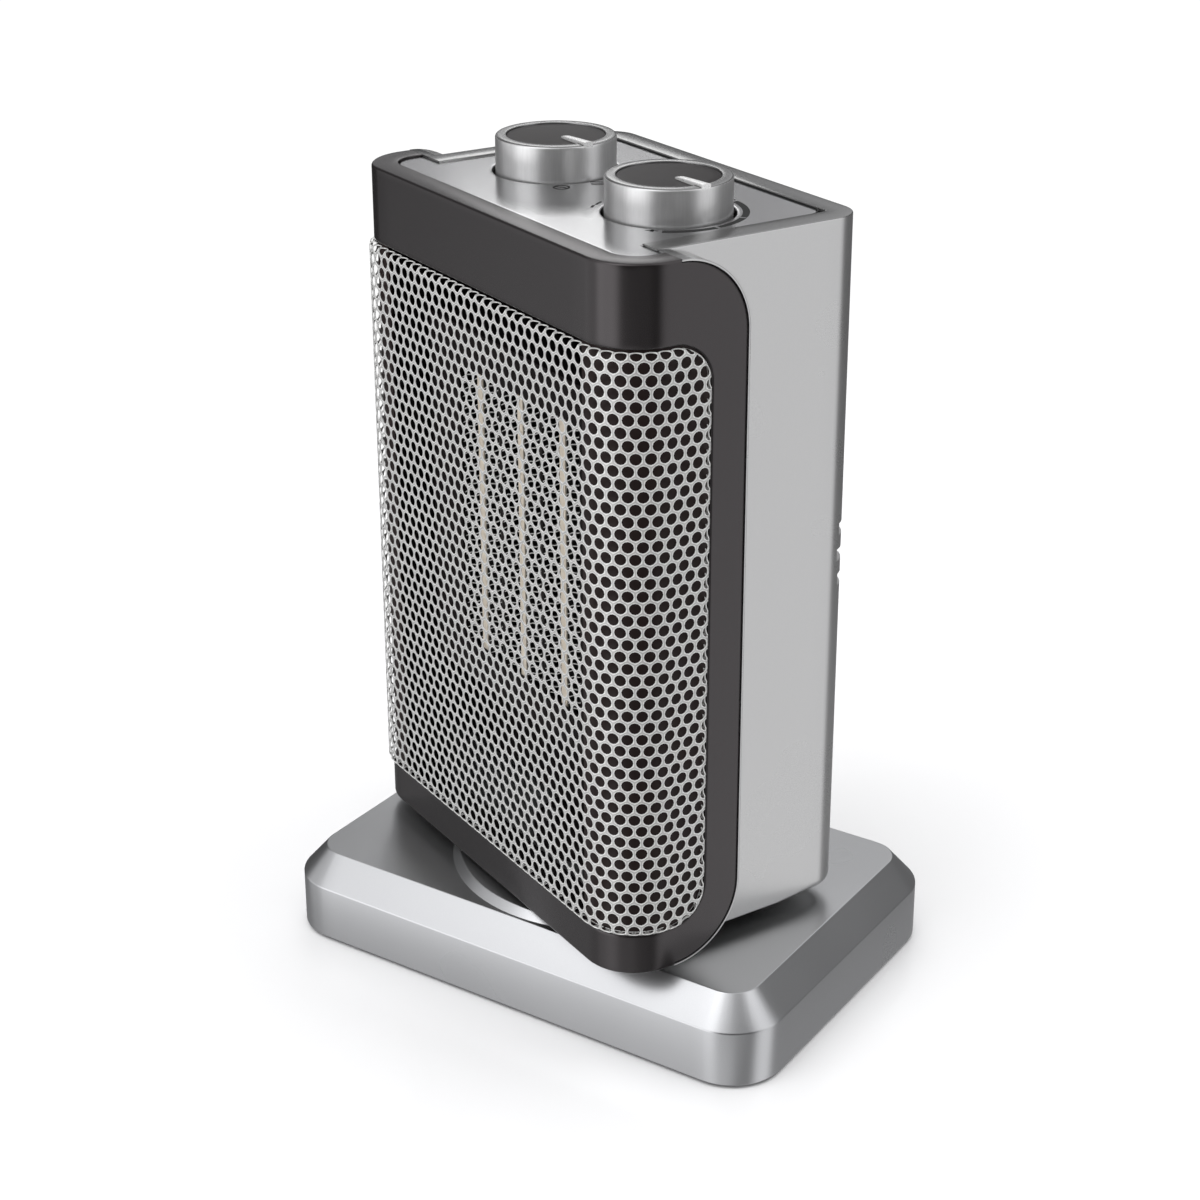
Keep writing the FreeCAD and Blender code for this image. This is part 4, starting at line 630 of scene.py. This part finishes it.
def make_grille():
    """Sheet with staggered round holes, bent round the front. Every cell of the pattern is the
    ring between a hexagon and its hole, 12 quads. What lies past the sheet's rounded outline
    follows a small quarter bend and then runs straight in, up to the depth of the fold, where
    all the rest gathers, so cut holes leave a scalloped edge. Points are (s, height), and the
    plan line bends them; the thickness goes inwards."""
    gap = 0.9
    half, front, corner = GRILLE_LINE
    reach = half - corner + corner * math.pi / 2 + front - corner + GRILLE_BACK - gap
    tall, middle = (GRILLE_HIGH - GRILLE_LOW) / 2 - gap, (GRILLE_HIGH + GRILLE_LOW) / 2
    round_off = GRILLE_CORNER - gap
    pitch, row, radius, lift = 4.2, 3.66, 1.76, 0.8
    fold_radius, fold_run, spare = 1.0, 1.4, 0.6
    columns, rows = np.meshgrid(np.arange(-26, 27), np.arange(-27, 28))
    staggered = (columns + 0.5 * (rows % 2)) * pitch
    centres = np.stack([staggered, rows * row + lift], -1).reshape(-1, 2)
    shoulder = (pitch * pitch / 4 + row * row) / 2
    tip, waist = shoulder / row, (shoulder - pitch * pitch / 4) / row
    side = pitch / 2
    hexagon = np.array([
        (0, tip), (-side, waist), (-side, -waist), (0, -tip), (side, -waist), (side, waist)
    ])
    rim = np.stack([hexagon, (hexagon + np.roll(hexagon, -1, 0)) / 2], 1).reshape(-1, 2)
    bearing = np.arctan2(rim[:, 1], rim[:, 0])
    hole = radius * np.stack([np.cos(bearing), np.sin(bearing)], -1)
    cell = np.concatenate([rim, hole])

    def outside(p):
        """Signed distance to the sheet's outline and the direction straight out of it."""
        q = np.abs(p) - np.array([reach - round_off, tall - round_off])
        past = np.maximum(q, 0)
        length = np.linalg.norm(past, axis=-1)
        flat_side = np.where(q[..., :1] > q[..., 1:], (1.0, 0.0), (0.0, 1.0))
        unit = past / np.maximum(length, 1e-9)[..., None]
        towards = np.where(length[..., None] > 1e-9, unit, flat_side)
        distance = length + np.minimum(q.max(-1), 0) - round_off
        return distance, towards * np.sign(p)

    quarter = fold_radius * math.pi / 2
    kept = outside(centres)[0] < quarter / 2 + fold_run + radius - spare
    points = centres[kept][:, None, :] + cell[None]
    distance, towards = outside(points)
    past = np.maximum(distance + quarter / 2, 0)
    turn = np.minimum(past / fold_radius, math.pi / 2)
    points = points + towards * (fold_radius * np.sin(turn) - past)[..., None]
    depth = fold_radius * (1 - np.cos(turn)) + np.clip(past - quarter, 0, fold_run)
    x, y = u_line(points[..., 0], depth, *GRILLE_LINE)
    placed = np.stack([x, y, points[..., 1] + middle], -1)
    k = np.arange(12)
    ring = np.stack([k, (k + 1) % 12, 12 + (k + 1) % 12, 12 + k], -1)
    quads = (np.arange(len(placed))[:, None, None] * 24 + ring[None]).reshape(-1, 4)
    # Marks 1 at each hole's edge, where the sheet's paint carries a painted highlight.
    marks = np.broadcast_to(np.repeat([0.0, 1.0], 12), placed.shape[:2]).reshape(-1)
    skin = Skin()
    skin.add(placed.reshape(-1, 3), quads, marks)
    piece("grille_sheet", "tower", grille_sheet, skin, ["grille"], wall=0.25,
          open_skin=True)


def make_grille_lining():
    """Dark wall close behind each side of the sheet. Its section is a flat bar; the bar is
    carried along the sheet's plan line, moved inwards, from the front's last flat stretch round
    the corner and into the frame's wall."""
    half, front, corner = GRILLE_LINE
    near, far, margin = 2.6, 3.4, 1
    flat = half - corner
    end = flat + corner * math.pi / 2 + front - corner + GRILLE_BACK
    s = np.linspace(flat - 3, end, 40)
    skin = Skin()
    for side in (-1, 1):
        lines = [np.stack(u_line(side * s, depth, *GRILLE_LINE), -1) for depth in (near, far)]
        skin.tube(flat_bar(*lines, GRILLE_LOW - margin, GRILLE_HIGH + margin))
    piece("grille_lining", "tower", lining_brown, skin)


# ---------------------------------------------------------------------------------------------
# Rear housing
# ---------------------------------------------------------------------------------------------

HOUSING_FLAT = HOUSING_HALF - HOUSING_CORNER
HOUSING_BEND_END = HOUSING_FLAT + HOUSING_CORNER * math.pi / 2
HOUSING_END = HOUSING_BEND_END + HOUSING_BACK - HOUSING_CORNER - SEAM_Y


def make_rear_housing():
    """U-shaped wall with rows of slots left open in its back, rounded at its lower edge and run
    in over the rim at its top. Its front ends follow the seam's arcs: each row of points is
    shortened along the straight sides until it ends on the arc."""
    flat, bend_end, end = HOUSING_FLAT, HOUSING_BEND_END, HOUSING_END
    half_line = np.concatenate([
        np.arange(0.5, flat, 1.0), np.linspace(flat, bend_end, 16),
        np.linspace(bend_end, end, 9)[1:],
    ])
    s = np.concatenate([-half_line[::-1], half_line])
    along, zero = np.abs(s), np.zeros(len(s))
    seam_round, more_at_back, change_run = 1.0, 2.2, 14
    foot_round = seam_round + more_at_back * (1 - np.clip((along - bend_end) / change_run, 0, 1))
    slot_rows, slot_pitch, slot_half, field_radius = 15, 8.1, 1.9, 62.6
    slot_z = FAN_HEIGHT + (np.arange(slot_rows) - slot_rows // 2) * slot_pitch
    shell_arc = SEAM_ARC - 2.4
    bend = shell_arc * np.sin(np.linspace(0, math.pi / 2, 13)[:-1])
    levels = np.sort(np.concatenate([
        slot_z - slot_half, slot_z + slot_half, TOWER_TOP - SEAM_ARC + bend,
        TOWER_FOOT + SEAM_ARC - bend[:-3],
    ]))
    # Each row of points is a depth behind the plan line and a height.
    rows = [(foot_round + 1.5, zero + TOWER_FOOT)]
    for a in np.linspace(0, math.pi / 2, 7):
        rows.append((foot_round * (1 - math.sin(a)), TOWER_FOOT + foot_round * (1 - math.cos(a))))
    rows += [(zero, zero + z) for z in levels]
    edge, lip, rim_wall = 0.5, 0.25, 2.2
    quarter = np.linspace(0, math.pi / 2, 5)
    for a in quarter:
        drop = edge * (1 - math.sin(a))
        rows.append((zero + edge * (1 - math.cos(a)), zero + TOWER_TOP - drop))
    for a in quarter:
        drop = lip * (1 - math.cos(a))
        rows.append((zero + HOUSING_RIM - lip * (1 - math.sin(a)), zero + TOWER_TOP - drop))
    rows.append((zero + HOUSING_RIM, zero + TOWER_TOP - rim_wall))
    points = []
    for depth, z in rows:
        off = np.maximum(np.maximum(z - TOWER_TOP, TOWER_FOOT - z) + SEAM_ARC, 0)
        seam_y = SEAM_Y + np.sqrt(np.maximum(shell_arc**2 - off**2, 0))
        shorter = (end - bend_end - seam_y + SEAM_Y) / (end - bend_end)
        straight = bend_end + (along - bend_end) * shorter
        trimmed = np.sign(s) * np.where(along > bend_end, straight, along)
        x, y = u_line(trimmed, depth, *HOUSING_LINE)
        points.append(np.stack([x, -y, z], -1))
    # A quad is left open where its middle lies in a row of slots, inside the round field and
    # off the upright bars. A slot that would end just past a bar ends before it.
    centre_s = np.abs((s[1:] + s[:-1])[:, None] / 2)
    bend_angle = np.clip((centre_s - flat) / HOUSING_CORNER, 0, math.pi / 2)
    centre_x = np.where(centre_s < flat, centre_s, flat + HOUSING_CORNER * np.sin(bend_angle))
    row_z = np.array([np.mean(z) for _, z in rows])
    middle_z = (row_z[1:] + row_z[:-1]) / 2
    nearest = slot_z[np.argmin(np.abs(middle_z[:, None] - slot_z), 1)]
    in_row = np.abs(middle_z - nearest) < slot_half
    bar_pitch, bar_half, last_bar, shortest = 20, 1.5, 50, 5
    field = np.sqrt(np.maximum(field_radius**2 - (nearest - FAN_HEIGHT) ** 2, 0))
    for bar in (bar_pitch, 2 * bar_pitch):
        field = np.where((field > bar) & (field < bar + shortest), bar - bar_half, field)
    off_middle = (centre_x + bar_pitch / 2) % bar_pitch - bar_pitch / 2
    on_bar = (np.abs(off_middle) < bar_half) & (centre_x < last_bar)
    open_slot = in_row & (centre_x < field) & ~on_bar & (centre_s < bend_end)
    skin = Skin()
    skin.grid(np.stack(points, 1)[::-1], keep=~open_slot)
    piece("rear_shell", "tower", housing_silver, skin, ["rear_housing"],
          wall=2.0, open_skin=True)


def make_seam_band():
    """The rear housing's floor, and on each side the arced band that meets the frame: its
    section is carried round the seam's upper arc and then its lower one."""
    wall, inner_x, step_x, depth = 2.4, 62.5, 71.5, 2.5
    s = np.linspace(-HOUSING_END, HOUSING_END, 61)
    x, y = u_line(s, wall, *HOUSING_LINE)
    back, front = np.stack([x, -y], -1), np.stack([x, np.full(len(s), SEAM_Y)], -1)
    skin = Skin()
    skin.tube(flat_bar(back, front, TOWER_FOOT, TOWER_FOOT + depth))
    section = rounded_profile([
        (inner_x, 0, 0), (FRAME_HALF, 0, 0.2), (FRAME_HALF, SEAM_LIP, 0), (step_x, SEAM_LIP, 0),
        (step_x, depth, 0), (inner_x, depth, 0),
    ], 3)
    turn = np.linspace(math.pi / 2, 0, 33)[:, None]
    radius = SEAM_ARC - section[None, :, 1]
    bend_y, bend_z = SEAM_Y + radius * np.cos(turn), radius * np.sin(turn)
    y = np.concatenate([bend_y, bend_y[::-1]])
    z = np.concatenate([TOWER_TOP - SEAM_ARC + bend_z, TOWER_FOOT + SEAM_ARC - bend_z[::-1]])
    for side in (-1, 1):
        x = side * np.broadcast_to(section[None, :, 0], y.shape)
        skin.tube(np.stack([x, y, z], -1))
    piece("seam_band", "tower", housing_silver, skin)


# ---------------------------------------------------------------------------------------------
# Control plate and dials
# ---------------------------------------------------------------------------------------------

PLATE_NARROW = HOUSING_HALF - HOUSING_RIM - PLATE_GAP
PLATE_BACK = HOUSING_BACK - HOUSING_RIM - PLATE_GAP


def corner_arc(x, y, radius):
    """A quarter circle that rounds the corner at (x, y), from its rear side to its right one."""
    turn = np.linspace(0, math.pi / 2, 13)
    return np.stack([x - radius + radius * np.sin(turn), y - radius + radius * np.cos(turn)], -1)


def make_control_plate():
    """Recessed plate: a rounded border carried along its T-shaped outline, a flat field, and a
    rounded rim in each knob hole. The field is one star of quads round each hole, out to its own
    half of the rear part, and a strip for the wider front part."""
    wide, front = FRAME_HALF - FRAME_RIM - PLATE_GAP, FRAME_FRONT - FRAME_RIM - PLATE_GAP
    seam, corner = SEAM_Y - PLATE_GAP, FRAME_CORNER - FRAME_RIM - PLATE_GAP
    border, edge, hole_gap = 1.2, 0.35, 1.0
    quarter = np.linspace(0, math.pi / 2, 5)

    def measures(inset):
        """Half widths, front, back, seam and corner radii of the outline moved in by inset."""
        return (PLATE_NARROW - inset, wide - inset, front - inset, PLATE_BACK - inset,
                seam - inset, PLATE_REAR_CORNER - inset, corner - inset)

    def outline(inset):
        """The T-shaped outline moved in by inset, from the back's middle round the left side."""
        n, w, f, b, m, r_rear, r_front = measures(inset)
        turn = np.linspace(0, math.pi / 2, 13)
        bend_x = w - r_front + r_front * np.cos(turn)
        bend_y = -(f - r_front) - r_front * np.sin(turn)
        right = np.concatenate([
            [(0, b)], corner_arc(n, b, r_rear), [(n, m), (w, m)], np.stack([bend_x, bend_y], -1),
            [(0, -f)],
        ])
        return np.concatenate([right, right[-2:0:-1] * (-1, 1)])

    def run(start, end):
        """Points from start to end, without end itself."""
        t = np.linspace(0, 1, 16)[:-1, None]
        return np.array(start) + (np.array(end) - np.array(start)) * t

    loops = [at_height(outline(0), PLATE_LOW)]
    for a in quarter:
        height = PLATE_TOP - edge * (1 - math.sin(a))
        loops.append(at_height(outline(edge * (1 - math.cos(a))), height))
    loops.append(at_height(outline(border), PLATE_TOP))
    skin = Skin()
    skin.grid(np.stack(loops, 1), wrap_u=True)
    n, w, f, b, m, r_rear, r_front = measures(border)
    hole = KNOB_RADIUS + hole_gap
    for side, axis in ((-1, KNOB_AXES["mode"]), (1, KNOB_AXES["heat"])):
        rear = corner_arc(n, b, r_rear)
        loop = np.concatenate([
            run((0, b), rear[0]), rear, run(rear[-1], (n, m)), run((n, m), (0, m)),
            run((0, m), (0, b)),
        ]) * (side, 1)
        away = loop - np.array(axis)
        bearing = np.arctan2(away[:, 1], away[:, 0])
        around = np.stack([np.cos(bearing), np.sin(bearing)], -1)
        rings = [at_height(loop, PLATE_TOP), at_height(axis + around * (hole + border), PLATE_TOP)]
        for a in quarter:
            radius, drop = hole + edge * (1 - math.sin(a)), edge * (1 - math.cos(a))
            rings.append(at_height(axis + around * radius, PLATE_TOP - drop))
        rings.append(at_height(axis + around * hole, PLATE_LOW))
        skin.grid(np.stack(rings, 1), wrap_u=True)
    bend = np.linspace(math.pi / 2, 0, 13)
    flat_x, flat_y = w - r_front, -(f - r_front)
    out, ahead = r_front * np.sin(bend), r_front * np.cos(bend)
    x = np.concatenate([-flat_x - out, np.linspace(-flat_x, flat_x, 15)[1:-1], flat_x + out[::-1]])
    y = np.concatenate([flat_y - ahead, np.full(13, -f), flat_y - ahead[::-1]])
    lines = np.stack([x, y], -1), np.stack([x, 0 * x + m], -1)
    skin.grid(np.stack([at_height(line, PLATE_TOP) for line in lines], 1))
    piece("dial_plate", "tower", plate_silver, skin, ["control_plate"])


def make_plate_gap_shadow():
    """Painted shadow in the gap behind the plate: a dark flat bar, where only shade falls, carried
    round its rear edge and both rear corners."""
    near, far, low, high, side_run = 0.03, 0.36, 246.2, TOWER_TOP - 0.2, 13
    lines = []
    for grown in (near, far):
        x, y = PLATE_NARROW + grown, PLATE_BACK + grown
        bend = corner_arc(x, y, PLATE_REAR_CORNER + grown)
        half = np.concatenate([[(0, y)], bend, [(x, y - side_run)]])
        lines.append(np.concatenate([half[::-1] * (-1, 1), half[1:]]))
    skin = Skin()
    # The bar is painted shadow, not a part of the heater.
    skin.tube(flat_bar(*lines, low, high))
    piece("plate_gap_shadow", "tower", print_and_shadow_dark, skin)


def make_plate_scale():
    """Printed scale on the control plate: arcs, dashes and simple signs, as thin raised strips."""
    skin = Skin()

    def strip(line_a, line_b):
        """A strip between two lines, with a little thickness."""
        skin.tube(flat_bar(line_a, line_b, PLATE_TOP - 0.02, PLATE_TOP + 0.03))

    def way(angle):
        return np.array([math.cos(math.radians(angle)), math.sin(math.radians(angle))])

    def arc(axis, start, stop, near, far, near_end=None, far_end=None):
        """A strip round axis, between two radii that may change along it."""
        t = np.linspace(0, 1, max(3, int(abs(stop - start) / 4)))
        angle = np.radians(start + (stop - start) * t)
        r_near = near + ((near_end or near) - near) * t
        r_far = far + ((far_end or far) - far) * t
        ray = np.stack([np.cos(angle), np.sin(angle)], -1)
        strip(axis + ray * r_near[:, None], axis + ray * r_far[:, None])

    def dash(middle, angle, length, width):
        along = way(angle)
        across = np.array([-along[1], along[0]])
        ends = np.array([middle - along * length / 2, middle + along * length / 2])
        strip(ends - across * width / 2, ends + across * width / 2)

    mode, heat = np.array(KNOB_AXES["mode"]), np.array(KNOB_AXES["heat"])
    off = mode + 22.8 * way(-28)
    arc(off, 0, 360, 1.9, 2.6)
    dash(off, 30, 4.4, 0.7)
    for k in range(3):
        dash(mode + (20.3 + 1.5 * k) * way(4 - 2 * k), 57, 4.0, 0.7)
    arc(heat, -134.5, -141, 21.8, 22.6)
    arc(heat, -143.5, -153, 21.5, 22.3)
    arc(heat, -52, -42, 20.8, 21.4)
    dash(heat + 21.1 * way(-46.8), -46.8, 2.2, 1.0)
    arc(heat, -39, 3, 20.5, 23.0, 20.6, 22.6)
    arc(heat, 6, 38, 20.7, 22.3, 20.8, 22.8)
    arc(heat, 40, 87, 20.8, 22.8, 21.2, 23.3)
    arc(heat, 90, 150, 21.2, 23.5, 21.4, 24.2)
    piece("plate_scale", "tower", print_and_shadow_dark, skin)


def make_dial(name):
    """Knob, disc and pointer. The knob is a profile turned about its axis, with a seat for the
    disc. The disc is a shallow dish with a flat tongue that runs out under the pointer. The
    pointer is a tapered bar whose section is a rounded box that grows towards the edge."""
    axis, body = KNOB_AXES[name], f"{name}_dial"
    r, top = KNOB_RADIUS, KNOB_TOP
    bore, hub, skirt, seat = 3.1, 5.5, 2, 15.0
    foot, hub_foot, hub_top, skirt_top = 245, 245.2, 253.5, 254.7
    profile = rounded_profile([
        (bore, hub_foot, 0), (hub, hub_foot, 0.3), (hub, hub_top, 0), (r - skirt, skirt_top, 0),
        (r - skirt, foot, 0), (r, foot, 0.4), (r, top, 0.9), (seat, top, 0.25),
        (seat - 0.1, top - 1.5, 0), (bore, top - 1.7, 0), (bore, hub_foot, 0),
    ], 6)
    cap = turned(profile, axis, 128)
    radius = np.hypot(cap[..., 0] - axis[0], cap[..., 1] - axis[1])
    # The ring's mark reaches over half of the rounded edge and carries the knob's painted shade.
    painted_shade_ring = (cap[..., 2] > top - 0.35) & (radius < r - 0.15)
    skin = Skin()
    skin.grid(cap, wrap_u=True, mark=painted_shade_ring.astype(float).reshape(-1))
    piece(f"{name}_cap", body, knob_silver, skin, [f"{name}_knob"], crease=38)

    # The dish's points are (radius, depth below the knob's top).
    dish = np.array([
        (0, 0.5), (4, 0.49), (8, 0.46), (12, 0.41), (14.2, 0.36), (14.75, 0.42), (14.8, 1.45),
        (0, 1.45),
    ])
    dish[:, 1] = top - dish[:, 1]
    skin = Skin()
    skin.grid(turned(dish, axis, 96), wrap_u=True)
    low, high = top - 0.6, top + 0.03
    tongue = ((14.6, 1.55), (r - 0.6, 1.85))
    corners = ((-1, low), (-1, high), (1, high), (1, low))
    skin.tube(np.array([
        [(axis[0] + x, axis[1] + side * half, z) for side, z in corners] for x, half in tongue
    ]))
    piece(f"{name}_dish", body, disc_dark, skin, [f"{name}_disc"], crease=50)

    t = np.linspace(0, 1, 25)
    start, end, floor_z = 3.6, r - 0.05, top - 1.0
    reach = start + (end - start) * t**1.3
    tip = np.sqrt(1 - (1 - np.clip(reach - start, 0, 1)) ** 2)
    half = (0.85 + 0.65 * t) * tip + 1e-3
    crest = top - 0.2 + 0.45 * np.clip(t * 4, 0, 1) + 0.6 * t
    section = rounded_profile([(-1, -1, 0), (-1, 1, 0.35), (1, 1, 0.35), (1, -1, 0)], 4)
    x = axis[0] + np.broadcast_to(reach[:, None], (len(t), len(section)))
    y = axis[1] + half[:, None] * section[None, :, 0]
    z = floor_z + (crest[:, None] - floor_z) * (section[None, :, 1] + 1) / 2
    skin = Skin()
    skin.tube(np.stack([x, y, z], -1))
    piece(f"{name}_hand", body, bright_trim, skin, [f"{name}_pointer"])


# ---------------------------------------------------------------------------------------------
# Heater core
# ---------------------------------------------------------------------------------------------


def make_fins():
    """Fins: foil blades that climb outwards across each column between a strip and its side
    plate, one above another, carried through the core's depth."""
    low, high, climb, step = 97.5, 191.5, 4.6, 2.1
    strip_pitch, strip_half, column_end = 23.4, 1.7, 11.2
    front, back, plate = -30.9, -15.0, 0.35
    blade_y = np.array([-30.7, -30.3, -23.0, -15.2])
    # Marks fall from the front edge backwards; behind the front the foil's paint turns to painted
    # shade.
    blade_marks = np.array([1.0, 0.85, 0.4, 0.0])
    across = np.linspace(0, 1, 4)[None, :, None]
    wave = 0.35 * np.sin(across * math.pi * 2)
    start = np.arange(low, high - climb, step)[:, None, None]
    for column in range(6):
        strip = (column // 2 - 1) * strip_pitch
        side = -1 if column % 2 == 0 else 1
        left, right = sorted((strip + side * strip_half, strip + side * column_end))
        x = left + (right - left) * across
        z = start + climb * across + wave
        blades = np.stack(np.broadcast_arrays(x, blade_y[None, None], z), -1)
        skin = Skin()
        for blade in blades:
            skin.grid(blade, mark=np.broadcast_to(blade_marks, blade.shape[:2]).reshape(-1))
        inner = right if side > 0 else left
        outer = inner + side * plate
        corners = ((inner, front), (outer, front), (outer, back), (inner, back))
        skin.tube(np.array([[(x, y, z) for x, y in corners] for z in (low, high)]))
        piece(f"folded_fins_{column + 1}", "tower", foil, skin,
              [f"fin_pack_{column + 1}"], wall=0.22, open_skin=True)


# ---------------------------------------------------------------------------------------------
# Put together
# ---------------------------------------------------------------------------------------------

make_base()
make_feet()
make_gland()
make_front_frame()
make_grille()
make_grille_lining()
make_rear_housing()
make_seam_band()
make_control_plate()
make_plate_gap_shadow()
make_plate_scale()
make_dial("mode")
make_dial("heat")
make_fins()

for name, paint in NODE_PAINTS.items():
    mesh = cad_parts[name].data
    mesh.materials.clear()
    mesh.materials.append(paint.material)

# ---------------------------------------------------------------------------------------------
# Studio
# ---------------------------------------------------------------------------------------------

FLOOR_WHITE = 0.73
ROOM_DUSK, FLOOR_GLOW, CEILING_GLOW = 0.05, 0.2, 0.5

# Upright glows of the room: their bearing, clockwise from +Y in degrees, their strength, the
# angles from that bearing within which they are full and beyond which they are gone, and the
# share of them that is left at the floor.
WALL_GLOWS = [
    (-158, 1.9, 6, 29, 0.2), (-120, 0.8, 15, 31, 0.2), (79, 1.06, 5, 27, 0.85),
    (20, 0.1, 25, 60, 1),
]
# Round glows: bearing, height above the horizon, strength, full, gone.
ROUND_GLOWS = [
    (-14, 42, 0.58, 8, 30), (-46, 14, 0.4, 5, 16), (-172, 54, 0.8, 9, 34), (176, -38, 0.5, 12, 34),
    (72, 34, 0.45, 10, 30), (-23, 15, 0.42, 3, 11), (135, -21, 0.22, 8, 26),
]


def make_floor():
    """White floor that fades out far away. The metal doesn't mirror it: there it sees the room
    instead."""
    reach = 6
    corners = [(-reach, -reach, 0), (reach, -reach, 0), (reach, reach, 0), (-reach, reach, 0)]
    floor = bpy.data.meshes.new("studio_floor")
    floor.from_pydata(corners, [], [(0, 1, 2, 3)])
    thing = bpy.data.objects.new("studio_floor", floor)
    thing.visible_glossy = False
    bpy.context.scene.collection.objects.link(thing)
    paint = Paint("studio_white", (FLOOR_WHITE,) * 3, 0.15, Specular_IOR_Level=0.4)
    paint.feed("Roughness", 0.12 + paint.noise(3, 1) * 0.04)
    length = {"operation": "LENGTH"}
    away = paint.node("ShaderNodeVectorMath", length, {0: paint.place}, output="Value")
    paint.feed("Alpha", 1 - paint.step(away, 0.35, 0.75))
    floor.materials.append(paint.material)


def softbox(name, place, target, size, power, mirrored=True):
    """Rectangular area light at place, turned towards target. The camera never sees it."""
    light = bpy.data.lights.new(name, "AREA")
    light.shape = "RECTANGLE"
    light.size, light.size_y = size
    light.energy = power
    thing = bpy.data.objects.new(name, light)
    thing.location = place
    thing.rotation_euler = (Vector(target) - Vector(place)).to_track_quat("-Z", "Y").to_euler()
    thing.visible_glossy = mirrored
    thing.visible_camera = False
    bpy.context.scene.collection.objects.link(thing)


def make_world():
    """White behind the object; for its light and reflections a dim room with soft glows."""
    world = bpy.data.worlds.new("studio")
    bpy.context.scene.world = world
    world.use_nodes = True
    world.node_tree.nodes.clear()
    room = Nodes(world.node_tree)

    def cos(angle):
        return math.cos(math.radians(angle))

    def sin(angle):
        return math.sin(math.radians(angle))

    way = room.node("ShaderNodeTexCoord", output="Generated")
    level = room.node("ShaderNodeVectorMath", {"operation": "MULTIPLY"}, {0: way, 1: (1, 1, 0)})
    level = room.node("ShaderNodeVectorMath", {"operation": "NORMALIZE"}, {0: level})
    height = room.dot(way, (0, 0, 1))
    above_floor = room.step(height, sin(-35), sin(-17))
    fading = 1 - room.step(height, sin(0), sin(40)) * 0.35
    light = ROOM_DUSK + room.step(height, sin(25), sin(55)) * CEILING_GLOW
    light = light + (1 - above_floor) * FLOOR_GLOW
    for bearing, strength, full, gone, low_share in WALL_GLOWS:
        side = room.dot(level, (sin(bearing), cos(bearing), 0))
        band = (above_floor * (1 - low_share) + low_share) * fading
        light = light + room.step(side, cos(gone), cos(full)) * band * strength
    for bearing, rise, strength, full, gone in ROUND_GLOWS:
        towards = room.dot(way, (sin(bearing) * cos(rise), cos(bearing) * cos(rise), sin(rise)))
        light = light + room.step(towards, cos(gone), cos(full)) * strength
    seen = room.node("ShaderNodeBackground", inputs={"Color": (1, 1, 1, 1), "Strength": 1.05})
    cool = {"Color": (0.98, 0.98, 1.0, 1), "Strength": light}
    lit = room.node("ShaderNodeBackground", inputs=cool)
    to_camera = room.node("ShaderNodeLightPath", output="Is Camera Ray")
    blend = room.node("ShaderNodeMixShader", inputs={0: to_camera, 1: lit, 2: seen})
    room.node("ShaderNodeOutputWorld", inputs={0: blend})


def make_camera():
    """Camera in front of the heater, to its right and a little above it."""
    camera = bpy.data.cameras.new("studio_camera")
    camera.lens, camera.sensor_width = 70.24, 36.0
    camera.shift_x, camera.shift_y = -0.0121, -0.10
    camera.clip_start, camera.clip_end = 0.05, 20
    thing = bpy.data.objects.new("studio_camera", camera)
    thing.location = (0.3669, -0.5570, 0.4166)
    thing.rotation_euler = (math.radians(90 - 21.3), 0, math.radians(33.2))
    bpy.context.scene.collection.objects.link(thing)
    bpy.context.scene.camera = thing


make_floor()
make_world()
softbox("overhead", (0, 0, 2.2), (0, 0, 0), (3.2, 3.2), 66, mirrored=False)
softbox("back_left_card", (-0.56, 0.8, 0.6), (0, 0, 0.25), (0.18, 0.15), 0.18)
make_camera()
bpy.context.scene.view_settings.view_transform = "Standard"

bpy.context.view_layer.update()
